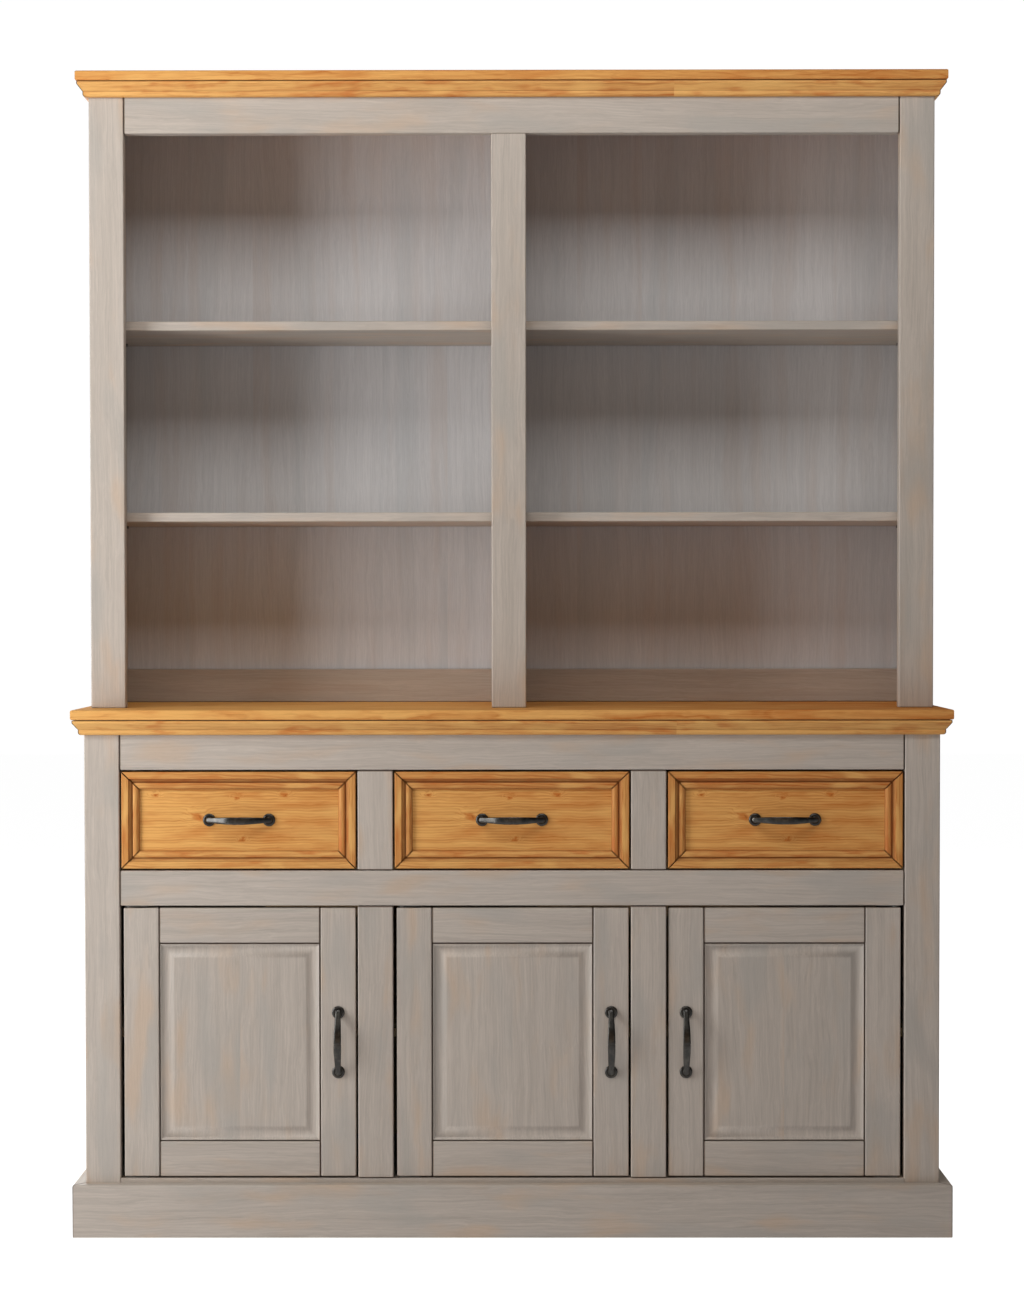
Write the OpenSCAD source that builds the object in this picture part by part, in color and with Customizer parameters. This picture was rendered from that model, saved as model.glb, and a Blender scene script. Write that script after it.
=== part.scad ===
// Buffet with an open hutch: two bays of shelves over a base of three drawers and three doors.
// X runs to the right, Y to the back and Z up. The front faces -Y. All sizes are millimetres.

/* [Overall] */
// Width over the plinth, counter and cornice
total_w = 1500; // [1300:10:1800]
// Depth of the counter from its front edge to the back
counter_d = 400; // [370:5:520]
// How far the plinth, counter and cornice stand proud of the body
overhang = 20; // [14:1:30]
// How far the hutch's face lies behind the counter's front edge
hutch_setback = 94; // [50:1:150]

/* [Heights] */
// Height of the plinth
plinth_h = 90; // [60:1:130]
// Height of the bottom board's edge that shows above the plinth
bottom_reveal = 7; // [4:1:14]
// Height of the door openings
door_opening_h = 468; // [380:1:560]
// Height of the rail between the doors and the drawers
mid_rail_h = 60; // [50:1:90]
// Height of the drawer openings
drawer_opening_h = 172; // [140:1:220]
// Height of the rail that shows between the drawers and the counter's moulding
top_rail_h = 60; // [40:1:90]
// Height of the hutch from the counter to the cornice moulding
hutch_h = 1054; // [900:1:1250]
// Height of the hutch's top rail that shows below the cornice moulding
hutch_rail_h = 62; // [40:1:90]

/* [Boards] */
// Width of the corner posts and of the hutch's centre post
post_w = 60; // [45:1:80]
// Width of the short uprights between the drawers and between the doors
muntin_w = 60; // [45:1:80]
// Thickness of posts, rails and uprights
frame_t = 22; // [20:1:30]
// Thickness of the side panels
side_t = 18; // [15:1:24]
// Thickness of the upright partitions behind the front frame
partition_t = 18; // [17:1:24]
// Thickness of the bottom board
bottom_t = 18; // [15:1:24]
// Thickness of the counter and of the cornice board
slab_t = 17; // [14:1:24]
// Thickness of the back panels
back_t = 8; // [5:1:12]
// How far the back panels lie in front of the rear edge
back_inset = 8; // [4:1:15]
// Depth of the grooves that hold the back panels
back_groove = 6; // [3:1:8]
// Radius of the eased edges of the boards
arris = 1.5; // [0.5:0.1:2.5]
// Radius of the eased edges of the counter, the cornice board and the plinth
slab_arris = 3; // [1:0.5:5]
// Play between a panel or shelf and what it fits into
fit = 0.3; // [0.1:0.1:0.8]
// Thickness of a glue line between pieces of one sub-part that meet
glue_line = 0.1; // [0.05:0.05:0.2]
// Clearance of pins, screws, dowels and magnets in their holes, on the radius
bore_fit = 0.05; // [0.02:0.01:0.1]
// Extra depth of a blind hole past the end of what it holds
blind = 0.5; // [0.2:0.1:1]

/* [Moulding under the counter and cornice] */
// Height of the moulding
moulding_h = 26; // [20:1:40]
// How far its top edge stands out from the body
moulding_top_out = 18; // [13:0.5:24]
// How far its lower part stands out from the body
moulding_low_out = 8; // [5:0.5:11]
// Height of the square edge at its top
moulding_fillet = 2.5; // [1:0.5:4]
// Height of its lower part
moulding_low_h = 12; // [9:1:15]
// Radius of its rounded lower edge
moulding_round = 5; // [2:0.5:5]
// Hollow of the slope between the two, measured from the straight line
moulding_hollow = 1.2; // [0.5:0.1:1.8]

/* [Hutch] */
// Sideways offset of the hutch's centre post
centre_post_x = -5; // [-20:1:20]
// Thickness of all shelves
shelf_t = 16; // [12:1:22]
// How far the hutch's shelves lie behind its posts
shelf_setback = 14; // [4:1:60]
// Height of the lower shelf's top over the counter
first_shelf = 340; // [260:1:400]
// Height from the lower shelf's top to the upper one's
shelf_spacing = 333; // [260:1:380]
// Height of the rails along the foot of the hutch's back
back_rail_h = 61; // [40:1:90]
// Thickness of those rails
back_rail_t = 12; // [8:1:18]
// Diameter of the dowels that locate the hutch on the counter
dowel_d = 8; // [6:1:10]
// Length of those dowels
dowel_l = 38; // [25:1:50]
// Depth to which they enter the counter
dowel_sink = 11; // [6:1:12]

/* [Shelf pins] */
// Diameter of a shelf pin
pin_d = 5; // [4:1:7]
// Length of a shelf pin
pin_l = 16; // [12:1:20]
// Depth to which a pin enters its wall
pin_sink = 7; // [5:1:7]
// Distance of the pins from a shelf's front and back edges
pin_edge = 40; // [25:1:60]
// How far the cupboard shelves lie behind the front frame
cupboard_shelf_setback = 30; // [20:1:90]

/* [Drawers] */
// Gap around a drawer front
drawer_gap = 3.3; // [2:0.1:5]
// Thickness of the flat board of a drawer front
drawer_front_t = 12; // [10:0.5:18]
// Thickness of the moulding planted on a drawer front
trim_t = 10; // [9:0.5:14]
// Width of the moulding's flat outer band
trim_band = 12; // [8:0.5:18]
// Width of the cove inside the band
trim_cove = 5.5; // [3:0.5:7]
// Width of the bead along the inner edge
trim_bead = 12.5; // [8:0.5:16]
// Fall of the band from its outer to its inner edge
trim_fall = 1.5; // [0:0.5:2]
// Height of the bead over the drawer's board
trim_bead_h = 7.5; // [6:0.5:8]
// Thickness of the drawer box's sides and back
box_t = 12; // [9:1:16]
// Height of the drawer box's sides
box_h = 145; // [100:1:160]
// Thickness of a drawer's bottom
box_bottom_t = 5; // [4:0.5:8]
// Depth of the grooves that hold a drawer's bottom
box_groove = 5; // [3:0.5:7]
// Height of a drawer's bottom over the lower edge of its sides
box_bottom_z = 8; // [6:1:14]
// How far a drawer front stands past the sides of its box
box_lip = 1; // [0.5:0.5:2]
// Space behind a closed drawer box
box_rear_gap = 10; // [4:1:40]
// Running gap between a drawer and its runners and guides
run_gap = 0.3; // [0.2:0.1:0.9]
// Thickness of the runners and kickers
runner_t = 20; // [14:1:26]
// Room between a drawer's sides and the kickers over them
kicker_gap = 2; // [1:0.5:4]
// Height of the guides over the runners
guide_h = 20; // [12:1:30]

/* [Doors] */
// Gap along a door's hinge side
hinge_gap = 6; // [5:0.1:8]
// Gap along a door's free side
latch_gap = 4; // [2:0.1:6]
// Gap under a door
door_low_gap = 3; // [2.5:0.1:5]
// Gap over a door
door_top_gap = 4; // [2.5:0.1:6]
// Thickness of a door's frame
door_t = 18; // [16:1:20]
// Width of a door's stiles and rails
stile_w = 60; // [45:1:75]
// Depth of the grooves in a door's frame
door_groove = 8; // [5:1:10]
// Thickness of the panel's tongue in the grooves
tongue_t = 6; // [4:0.5:8]
// Depth of the tongue's face behind the frame's face
tongue_y = 7; // [5:0.5:9]
// Depth of the panel's raised field behind the frame's face
field_y = 1.5; // [0.5:0.1:3]
// How much smaller than the frame's grooves the panel is, all round
panel_play = 1; // [0.5:0.5:2]
// Width of the panel's sloping border
bevel_w = 24; // [15:1:35]
// Small step where the border meets the field
field_step = 1; // [0.4:0.1:1.5]
// Gap between a closed door and its stop
stop_gap = 0.3; // [0.2:0.1:0.8]
// Thickness of a door stop
stop_t = 16; // [12:1:22]
// Height of the stop above and below the edge of the middle rail
stop_h = 20; // [18:1:24]
// Length of the stop, behind the door's free corner
stop_l = 160; // [80:5:240]
// Diameter of a catch magnet
magnet_d = 12; // [8:1:12]
// Depth of a catch magnet
magnet_l = 6; // [4:1:10]
// Thickness of the strike plate on a door
strike_t = 1.5; // [1:0.1:2]
// Distance of the catch from the door's free edge
catch_inset = 30; // [16:1:44]

/* [Pivot hinges] */
// Distance of a door's axis from its hinge edge
pivot_inset = 9; // [8:0.5:12]
// Diameter of a pivot pin
pivot_d = 6; // [4:0.5:6]
// Running clearance of the pin in its sleeve, on the radius
pivot_clearance = 0.05; // [0.02:0.01:0.1]
// Outer diameter of the sleeve
sleeve_d = 10; // [9:0.5:11]
// Length of the sleeve
sleeve_l = 10; // [8:1:16]
// How far a pin ends short of its sleeve's end
pin_short = 1; // [0.5:0.5:2]
// Play between a pin's collar and the door's plate
collar_gap = 0.3; // [0.2:0.1:0.5]
// Length of a pivot plate
plate_l = 38; // [32:1:50]
// Width of a pivot plate
plate_w = 12; // [11:0.5:13]
// Length of a pivot plate between its end and the sleeve
plate_margin = 1; // [0.5:0.5:2]
// Thickness of a pivot plate
plate_t = 1.6; // [1.2:0.1:1.8]
// Diameter of a pivot plate's screws
plate_screw_d = 3; // [2.5:0.1:3.5]
// Length of a pivot plate's screws
plate_screw_l = 13; // [8:1:16]
// Diameter of their heads
plate_head_d = 5.4; // [4.5:0.1:6]

/* [Handles] */
// Distance between a handle's two screws
handle_spacing = 102; // [76:1:128]
// Diameter of a rosette
rosette_d = 21.8; // [18:0.1:26]
// Thickness of a rosette
rosette_t = 3; // [2:0.5:4]
// Width of the bevel round a rosette
rosette_bevel = 2.8; // [1:0.1:4]
// Projection of the handle from its board
handle_out = 28; // [24:0.5:34]
// Thickness of the bow
bow_t = 5; // [4:0.5:6]
// Width of the bow at its ends
bow_end_w = 9; // [8:0.5:10]
// Width of the bow at its middle
bow_mid_w = 12.5; // [10.5:0.5:15]
// How far the bow's foot reaches past the screw
foot_shift = 1.5; // [0:0.5:2.5]
// Height of the bow's feet
foot_h = 7; // [6:0.5:9]
// Diameter of a handle's screws
handle_screw_d = 4; // [3:0.5:4]
// Depth to which a screw enters the handle
screw_grip = 4.5; // [3:0.5:5]
// Diameter of the screw's head
handle_head_d = 8; // [6:0.5:10]
// Height of the screw's head
handle_head_h = 2.5; // [1.5:0.5:3]
// Clearance of the screw in the door or the drawer front, on the radius
handle_bore_fit = 0.3; // [0.1:0.1:0.6]

/* [Hidden] */

// Colours
grey_wood = [0.66, 0.62, 0.57];
honey_wood = [0.80, 0.58, 0.33];
raw_wood = [0.86, 0.74, 0.55];
black_iron = [0.10, 0.10, 0.10];
bright_steel = [0.62, 0.63, 0.65];

// Extra length of a cutting tool past what it cuts
past = 1;

LEFT = 0;
CENTRE = 1;
RIGHT = 2;
bays = [LEFT, CENTRE, RIGHT];

// Places across the width
body_w = total_w - 2 * overhang;
half_body = body_w / 2;
opening_w = (body_w - 2 * post_w - 2 * muntin_w) / 3;
clear_w = body_w - 2 * post_w;
inner_w = body_w - 2 * side_t;

// Places from front to back: the origin is in the middle of the whole depth
door_recess = frame_t - door_t - stop_gap;
handle_reach = max(0, handle_out - overhang - door_recess);
front_y = -(counter_d - handle_reach) / 2;
face_y = front_y + overhang;
frame_back_y = face_y + frame_t;
rear_y = front_y + counter_d;
back_face_y = rear_y - back_inset - back_t;
hutch_y = front_y + hutch_setback;
hutch_frame_back_y = hutch_y + frame_t;
door_y = face_y + door_recess;
door_back_y = door_y + door_t;
pivot_y = door_y + door_t / 2;

// Levels
floor_z = plinth_h + bottom_reveal;
mid_rail_z = floor_z + door_opening_h;
drawer_z = mid_rail_z + mid_rail_h;
top_rail_z = drawer_z + drawer_opening_h;
slab_z = top_rail_z + top_rail_h + moulding_h;
counter_z = slab_z + slab_t;
hutch_moulding_z = counter_z + hutch_h;
hutch_rail_z = hutch_moulding_z - hutch_rail_h;
cornice_z = hutch_moulding_z + moulding_h;

// Openings of the front frame, counted from the left
function opening_x(i) = -half_body + post_w + i * (opening_w + muntin_w);
function opening_mid(i) = opening_x(i) + opening_w / 2;
// Middle of the upright to the right of an opening
function muntin_mid(i) = opening_x(i) + opening_w + muntin_w / 2;
// Walls of a compartment behind an opening
function wall_left(i) = i == LEFT ? -inner_w / 2 : muntin_mid(i - 1) + partition_t / 2;
function wall_right(i) = i == RIGHT ? inner_w / 2 : muntin_mid(i) - partition_t / 2;

// Hutch bays: 0 is the left one, 1 the right one
function bay_left(b) = b == 0 ? -inner_w / 2 : centre_post_x + partition_t / 2;
function bay_right(b) = b == 0 ? centre_post_x - partition_t / 2 : inner_w / 2;

// Each shelf as [left wall, right wall, front, height of its underside]
hutch_shelf_list = [
    for (b = [0, 1], level = [0, 1])
        [bay_left(b), bay_right(b), hutch_frame_back_y + shelf_setback,
         counter_z + first_shelf + level * shelf_spacing - shelf_t]
];
cupboard_shelf_z = floor_z + door_opening_h / 2;
cupboard_shelf_list = [
    for (i = bays)
        [wall_left(i), wall_right(i), frame_back_y + cupboard_shelf_setback, cupboard_shelf_z]
];
all_shelves = concat(hutch_shelf_list, cupboard_shelf_list);

// Drawers
drawer_front_w = opening_w - 2 * drawer_gap;
drawer_front_h = drawer_opening_h - 2 * drawer_gap;
drawer_back_y = face_y + trim_t + drawer_front_t;
drawer_panel_y = face_y + trim_t;
box_w = drawer_front_w - 2 * box_lip;
box_z = drawer_z + run_gap;
box_rear_y = back_face_y - box_rear_gap;
drawer_mid_z = drawer_z + drawer_opening_h / 2;
trim_w = trim_band + trim_cove + trim_bead;
guide_y = max(frame_back_y, drawer_back_y + run_gap);
kicker_z = box_z + box_h + kicker_gap;

// Doors. The left and centre doors hang on their left, the right one on its right
door_w = opening_w - hinge_gap - latch_gap;
door_h = door_opening_h - door_low_gap - door_top_gap;
door_z = floor_z + door_low_gap;
door_top_z = door_z + door_h;
function hangs_right(i) = i == RIGHT;
function door_x(i) = opening_x(i) + (hangs_right(i) ? latch_gap : hinge_gap);
function pivot_x(i) = hangs_right(i) ? door_x(i) + door_w - pivot_inset : door_x(i) + pivot_inset;
// A place at a distance from the door's free edge
function from_free_edge(i, d) = hangs_right(i) ? door_x(i) + d : door_x(i) + door_w - d;
door_mid_z = door_z + door_h / 2;
catch_z = mid_rail_z - stop_h / 2 - door_top_gap / 2;
panel_edge = stile_w - door_groove + panel_play;
panel_w = door_w - 2 * panel_edge;
panel_h = door_h - 2 * panel_edge;
tongue_front_y = door_y + tongue_y;
panel_back_y = tongue_front_y + tongue_t;

// Pivot plates: the length behind the axis, and the screws' places along the plate
plate_back = sleeve_d / 2 + plate_margin;
plate_screws = [0.45 * (plate_l - plate_back), 0.8 * (plate_l - plate_back)];
collar_d = sleeve_d;

// Handles
foot_x = handle_spacing / 2 + foot_shift;
bow_rise = handle_out - foot_h;
bow_radius = (foot_x * foot_x + bow_rise * bow_rise) / (2 * bow_rise);
bulge = (bow_mid_w - bow_end_w) / 2;
bulge_radius = (foot_x * foot_x + bulge * bulge) / (2 * bulge);

// Rectangle with rounded corners, from its low corner
module rounded_rect(size, r) {
    translate([r, 0]) square([size.x - 2 * r, size.y]);
    translate([0, r]) square([size.x, size.y - 2 * r]);
    for (x = [r, size.x - r], y = [r, size.y - r])
        translate([x, y]) circle(r, $fn = 24);
}

// Board with eased long edges, from its low corner. along is the direction of its grain
module board(size, along = "x", r = arris) {
    if (along == "x")
        rotate([90, 0, 90]) linear_extrude(size.x) rounded_rect([size.y, size.z], r);
    if (along == "y")
        translate([0, size.y, 0]) rotate([90, 0, 0])
            linear_extrude(size.y) rounded_rect([size.x, size.z], r);
    if (along == "z")
        linear_extrude(size.z) rounded_rect([size.x, size.y], r);
}

// The same board given by its low and high corners
module board_between(low, high, along = "x", r = arris) {
    translate(low) board(high - low, along, r);
}

// Square-edged panel given by its low and high corners
module panel_between(low, high) {
    translate(low) cube(high - low);
}

// Left and right copies
module both_sides() {
    children();
    mirror([1, 0, 0]) children();
}

// Straight prism whose outline lies across Y and Z, running along X from x0 to x1
module along_x(x0, x1) {
    translate([x0, 0, 0]) rotate([90, 0, 90]) linear_extrude(x1 - x0) children();
}

// Straight prism whose outline lies across X and Z, running along Y from y0 to y1
module along_y(y0, y1) {
    translate([0, y1, 0]) rotate([90, 0, 0]) linear_extrude(y1 - y0) children();
}

// Holes for the four pins of each shelf, or the pins themselves
module pin_row(r, sink, stand) {
    for (s = all_shelves, y = [s[2] + pin_edge, back_face_y - pin_edge]) {
        translate([s[0] - sink, y, s[3] - pin_d / 2]) rotate([0, 90, 0])
            cylinder(h = sink + stand, r = r, $fn = 24);
        translate([s[1] - stand, y, s[3] - pin_d / 2]) rotate([0, 90, 0])
            cylinder(h = sink + stand, r = r, $fn = 24);
    }
}

module pin_holes() {
    pin_row(pin_d / 2 + bore_fit, pin_sink + blind, past);
}

module shelf_pins() {
    color(bright_steel) pin_row(pin_d / 2, pin_sink, pin_l - pin_sink);
}

// Dowels between the hutch and the counter
dowel_y = [for (t = [0.25, 0.75]) hutch_frame_back_y + t * (back_face_y - hutch_frame_back_y)];
dowel_x = [-half_body + side_t / 2, centre_post_x, half_body - side_t / 2];

module dowel_row(r, extra) {
    for (x = dowel_x, y = dowel_y)
        translate([x, y, counter_z - dowel_sink - extra])
            cylinder(h = dowel_l + 2 * extra, r = r, $fn = 24);
}

module dowel_holes() {
    dowel_row(dowel_d / 2 + bore_fit, blind);
}

module hutch_dowels() {
    color(raw_wood) dowel_row(dowel_d / 2, 0);
}

// Groove for a back panel along the inner face of a side panel
module back_groove_cut(z0, z1) {
    panel_between([-inner_w / 2 - back_groove, back_face_y, z0],
                  [-inner_w / 2 + past, back_face_y + back_t + fit, z1]);
}

// Sides of the base
module base_sides() {
    color(grey_wood) both_sides() difference() {
        board_between([-half_body, frame_back_y, 0], [-inner_w / 2, rear_y, slab_z], "z");
        back_groove_cut(floor_z - bottom_t, slab_z + past);
        pin_holes();
    }
}

module base_posts() {
    color(grey_wood) both_sides()
        board_between([-half_body, face_y, 0], [-half_body + post_w, frame_back_y, slab_z], "z");
}

// Rail between the corner posts
module frame_rail(z0, z1, y0) {
    board_between([-clear_w / 2, y0, z0], [clear_w / 2, y0 + frame_t, z1], "x");
}

module base_top_rail() {
    color(grey_wood) frame_rail(top_rail_z, slab_z, face_y);
}

module base_mid_rail() {
    color(grey_wood) difference() {
        frame_rail(mid_rail_z, drawer_z, face_y);
        for (i = bays) upper_pivot(i) plate_screw_holes();
    }
}

module muntins(z0, z1) {
    for (i = [LEFT, CENTRE])
        board_between([muntin_mid(i) - muntin_w / 2, face_y, z0],
                      [muntin_mid(i) + muntin_w / 2, frame_back_y, z1], "z");
}

module drawer_muntins() {
    color(grey_wood) muntins(drawer_z, top_rail_z);
}

module door_muntins() {
    color(grey_wood) muntins(floor_z, mid_rail_z);
}

// Bottom board, with a front edge that shows between the posts
module bottom_board() {
    color(grey_wood) difference() {
        union() {
            panel_between([-inner_w / 2, frame_back_y, floor_z - bottom_t],
                          [inner_w / 2, back_face_y, floor_z]);
            along_x(-clear_w / 2, clear_w / 2) {
                translate([face_y, floor_z - bottom_t]) square([frame_t + past, bottom_t - arris]);
                translate([face_y + arris, floor_z - bottom_t]) square([frame_t + past - arris, bottom_t]);
                translate([face_y + arris, floor_z - arris]) circle(arris, $fn = 24);
            }
        }
        for (i = bays) lower_pivot(i) plate_screw_holes();
    }
}

module base_partitions() {
    color(raw_wood) for (i = [LEFT, CENTRE]) difference() {
        panel_between([muntin_mid(i) - partition_t / 2, frame_back_y, floor_z],
                      [muntin_mid(i) + partition_t / 2, back_face_y, slab_z]);
        pin_holes();
    }
}

module base_back() {
    color(raw_wood)
        panel_between([-inner_w / 2 - back_groove + fit, back_face_y, floor_z - bottom_t],
                      [inner_w / 2 + back_groove - fit, back_face_y + back_t, slab_z]);
}

// Strip along one wall of a compartment. side is -1 for the left wall and 1 for the right one.
// reach is how far short of the drawer box's side it ends, and below zero it runs under the box
module wall_strip(i, side, reach, y0, z0, z1) {
    wall_x = side < 0 ? wall_left(i) : wall_right(i);
    end_x = opening_mid(i) + side * (box_w / 2 + reach);
    panel_between([min(wall_x, end_x), y0, z0], [max(wall_x, end_x), back_face_y, z1]);
}

// Runners under the sides of each drawer
module drawer_runners() {
    color(raw_wood) for (i = bays, side = [-1, 1])
        wall_strip(i, side, -box_t, frame_back_y, drawer_z - runner_t, drawer_z);
}

// Guides on the runners, which keep the box straight
module drawer_guides() {
    color(raw_wood) for (i = bays, side = [-1, 1])
        wall_strip(i, side, run_gap, guide_y, drawer_z, drawer_z + guide_h);
}

// Kickers over the drawer sides, which keep an open drawer level
module drawer_kickers() {
    color(raw_wood) for (i = bays, side = [-1, 1])
        wall_strip(i, side, -box_t, guide_y, kicker_z, kicker_z + runner_t);
}

// Stops behind the middle rail, with a magnet let into each. They leave room for the hinge side's
// back corner, which swings in behind the door
module door_stops() {
    color(raw_wood) for (i = bays) difference() {
        stop_x = opening_x(i) + (hangs_right(i) ? 0 : opening_w - stop_l);
        panel_between([stop_x, frame_back_y, mid_rail_z - stop_h],
                      [stop_x + stop_l, frame_back_y + stop_t, mid_rail_z + stop_h]);
        catch_place(i, frame_back_y - past)
            cylinder(h = magnet_l + past, r = magnet_d / 2 + bore_fit, $fn = 32);
    }
}

// Axis of a door's catch, pointing to the back from the plane at y
module catch_place(i, y) {
    translate([from_free_edge(i, catch_inset), y, catch_z]) rotate([-90, 0, 0]) children();
}

module catch_magnets() {
    color(bright_steel) for (i = bays)
        catch_place(i, frame_back_y) cylinder(h = magnet_l, r = magnet_d / 2, $fn = 32);
}

// Shelves between walls, resting on their pins
module shelves(list) {
    for (s = list)
        board_between([s[0] + fit, s[2], s[3]], [s[1] - fit, back_face_y, s[3] + shelf_t], "x");
}

module cupboard_shelves() {
    color(raw_wood) shelves(cupboard_shelf_list);
}

module hutch_shelves() {
    color(grey_wood) shelves(hutch_shelf_list);
}

// Front length of a border that stands out from a face and is mitred at both corners.
// The outline to extrude is a child, drawn as distance out from the face and height
module mitred_front(face, z0, reach, gap = 0) {
    inner = half_body - gap;
    outer = inner + reach;
    intersection() {
        along_x(-half_body - reach, half_body + reach)
            translate([face, z0]) mirror([1, 0]) children();
        linear_extrude(cornice_z + slab_t)
            polygon([[-inner, face], [inner, face], [outer, face - reach], [-outer, face - reach]]);
    }
}

// The two side lengths of the same border
module mitred_sides(face, z0, reach) {
    both_sides() intersection() {
        along_y(face - reach, rear_y) translate([half_body, z0]) children();
        linear_extrude(cornice_z + slab_t)
            polygon([[half_body, face], [half_body + reach, face - reach],
                     [half_body + reach, rear_y], [half_body, rear_y]]);
    }
}

module plinth_outline() {
    square([overhang, plinth_h - slab_arris]);
    square([overhang - slab_arris, plinth_h]);
    translate([overhang - slab_arris, plinth_h - slab_arris]) circle(slab_arris, $fn = 32);
}

module plinth_front() {
    color(grey_wood) mitred_front(face_y, 0, overhang) plinth_outline();
}

module plinth_sides() {
    color(grey_wood) mitred_sides(face_y, 0, overhang) plinth_outline();
}

module plinth_back() {
    color(raw_wood)
        panel_between([-inner_w / 2, back_face_y - side_t, 0],
                      [inner_w / 2, back_face_y, floor_z - bottom_t]);
}

// Counter or cornice board with eased edges on its front and sides
module top_board(board_y, z0) {
    depth = rear_y - board_y;
    intersection() {
        along_x(-total_w / 2, total_w / 2) translate([board_y, z0]) {
            translate([slab_arris, 0]) square([depth - slab_arris, slab_t]);
            translate([0, slab_arris]) square([depth, slab_t - 2 * slab_arris]);
            for (z = [slab_arris, slab_t - slab_arris])
                translate([slab_arris, z]) circle(slab_arris, $fn = 32);
        }
        along_y(board_y - past, rear_y + past)
            translate([-total_w / 2, z0]) rounded_rect([total_w, slab_t], slab_arris);
    }
}

module counter_top() {
    color(honey_wood) difference() {
        top_board(front_y, slab_z);
        dowel_holes();
    }
}

module cornice_top() {
    color(honey_wood) top_board(hutch_y - overhang, cornice_z);
}

// Section of the moulding: a rounded lower part, a hollow slope and a square top edge
module moulding_outline() {
    slope_out = moulding_top_out - moulding_low_out;
    slope_top = moulding_h - moulding_fillet;
    slope_h = slope_top - moulding_low_h;
    chord = sqrt(slope_out * slope_out + slope_h * slope_h);
    hollow_r = (chord * chord / 4 + moulding_hollow * moulding_hollow) / (2 * moulding_hollow);
    hollow_mid = [(moulding_low_out + moulding_top_out) / 2, (moulding_low_h + slope_top) / 2];
    outward = [slope_h, -slope_out] / chord;
    translate([0, moulding_round])
        square([moulding_low_out, moulding_low_h + moulding_fillet - moulding_round]);
    square([moulding_low_out - moulding_round, moulding_h]);
    translate([moulding_low_out - moulding_round, moulding_round]) circle(moulding_round, $fn = 48);
    difference() {
        polygon([[0, moulding_low_h], [moulding_low_out, moulding_low_h], [moulding_top_out, slope_top],
                 [moulding_top_out, moulding_h], [0, moulding_h]]);
        translate(hollow_mid + outward * (hollow_r - moulding_hollow)) circle(hollow_r, $fn = 180);
    }
}

module moulding_set(face, z0) {
    mitred_front(face, z0, moulding_top_out + past, glue_line) moulding_outline();
    mitred_sides(face, z0, moulding_top_out + past) moulding_outline();
}

module counter_moulding() {
    color(honey_wood) moulding_set(face_y, slab_z - moulding_h);
}

module cornice_moulding() {
    color(honey_wood) moulding_set(hutch_y, hutch_moulding_z);
}

module hutch_sides() {
    color(grey_wood) both_sides() difference() {
        board_between([-half_body, hutch_frame_back_y, counter_z], [-inner_w / 2, rear_y, cornice_z], "z");
        back_groove_cut(counter_z - past, cornice_z + past);
        pin_holes();
        dowel_holes();
    }
}

module hutch_posts() {
    color(grey_wood) {
        both_sides()
            board_between([-half_body, hutch_y, counter_z],
                          [-half_body + post_w, hutch_frame_back_y, cornice_z], "z");
        board_between([centre_post_x - post_w / 2, hutch_y, counter_z],
                      [centre_post_x + post_w / 2, hutch_frame_back_y, hutch_rail_z], "z");
    }
}

module hutch_top_rail() {
    color(grey_wood) frame_rail(hutch_rail_z, cornice_z, hutch_y);
}

module hutch_divider() {
    color(grey_wood) difference() {
        panel_between([centre_post_x - partition_t / 2, hutch_frame_back_y, counter_z],
                      [centre_post_x + partition_t / 2, back_face_y, cornice_z]);
        pin_holes();
        dowel_holes();
    }
}

module hutch_back() {
    color(grey_wood)
        panel_between([-inner_w / 2 - back_groove + fit, back_face_y, counter_z],
                      [inner_w / 2 + back_groove - fit, back_face_y + back_t, cornice_z]);
}

module hutch_back_rails() {
    color(grey_wood) for (b = [0, 1])
        board_between([bay_left(b), back_face_y - back_rail_t, counter_z],
                      [bay_right(b), back_face_y, counter_z + back_rail_h], "x");
}

// Flat board of a drawer front, with a groove for the drawer's bottom
module drawer_front(i) {
    low_z = drawer_z + drawer_gap;
    groove_z = box_z + box_bottom_z;
    half_bottom = box_w / 2 - box_t + box_groove;
    color(honey_wood) difference() {
        board_between([opening_mid(i) - drawer_front_w / 2, drawer_panel_y, low_z],
                      [opening_mid(i) + drawer_front_w / 2, drawer_back_y, low_z + drawer_front_h], "x");
        panel_between([opening_mid(i) - half_bottom, drawer_back_y - box_groove, groove_z],
                      [opening_mid(i) + half_bottom, drawer_back_y + past, groove_z + box_bottom_t + fit]);
        drawer_handle_place(i) handle_board_holes(drawer_front_t);
    }
}

// Section of the moulding planted on a drawer front: distance in from the edge and height over the board
module trim_outline() {
    cove_top = trim_t - trim_fall;
    cove_low = cove_top - trim_cove;
    bead_mid = trim_band + trim_cove + trim_bead / 2;
    bead_rise = trim_bead_h - cove_low;
    bead_r = (trim_bead * trim_bead / 4 + bead_rise * bead_rise) / (2 * bead_rise);
    square([trim_w, cove_low]);
    square([arris, trim_t - arris]);
    translate([arris, trim_t - arris]) circle(arris, $fn = 24);
    polygon([[0, 0], [trim_band, 0], [trim_band, cove_top], [arris, trim_t], [arris, trim_t - arris],
             [0, trim_t - arris]]);
    difference() {
        square([trim_band + trim_cove, cove_top]);
        translate([trim_band + trim_cove, cove_top]) circle(trim_cove, $fn = 48);
    }
    intersection() {
        translate([bead_mid, trim_bead_h - bead_r]) circle(bead_r, $fn = 64);
        translate([bead_mid - trim_bead / 2, 0]) square([trim_bead, trim_bead_h]);
    }
}

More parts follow.
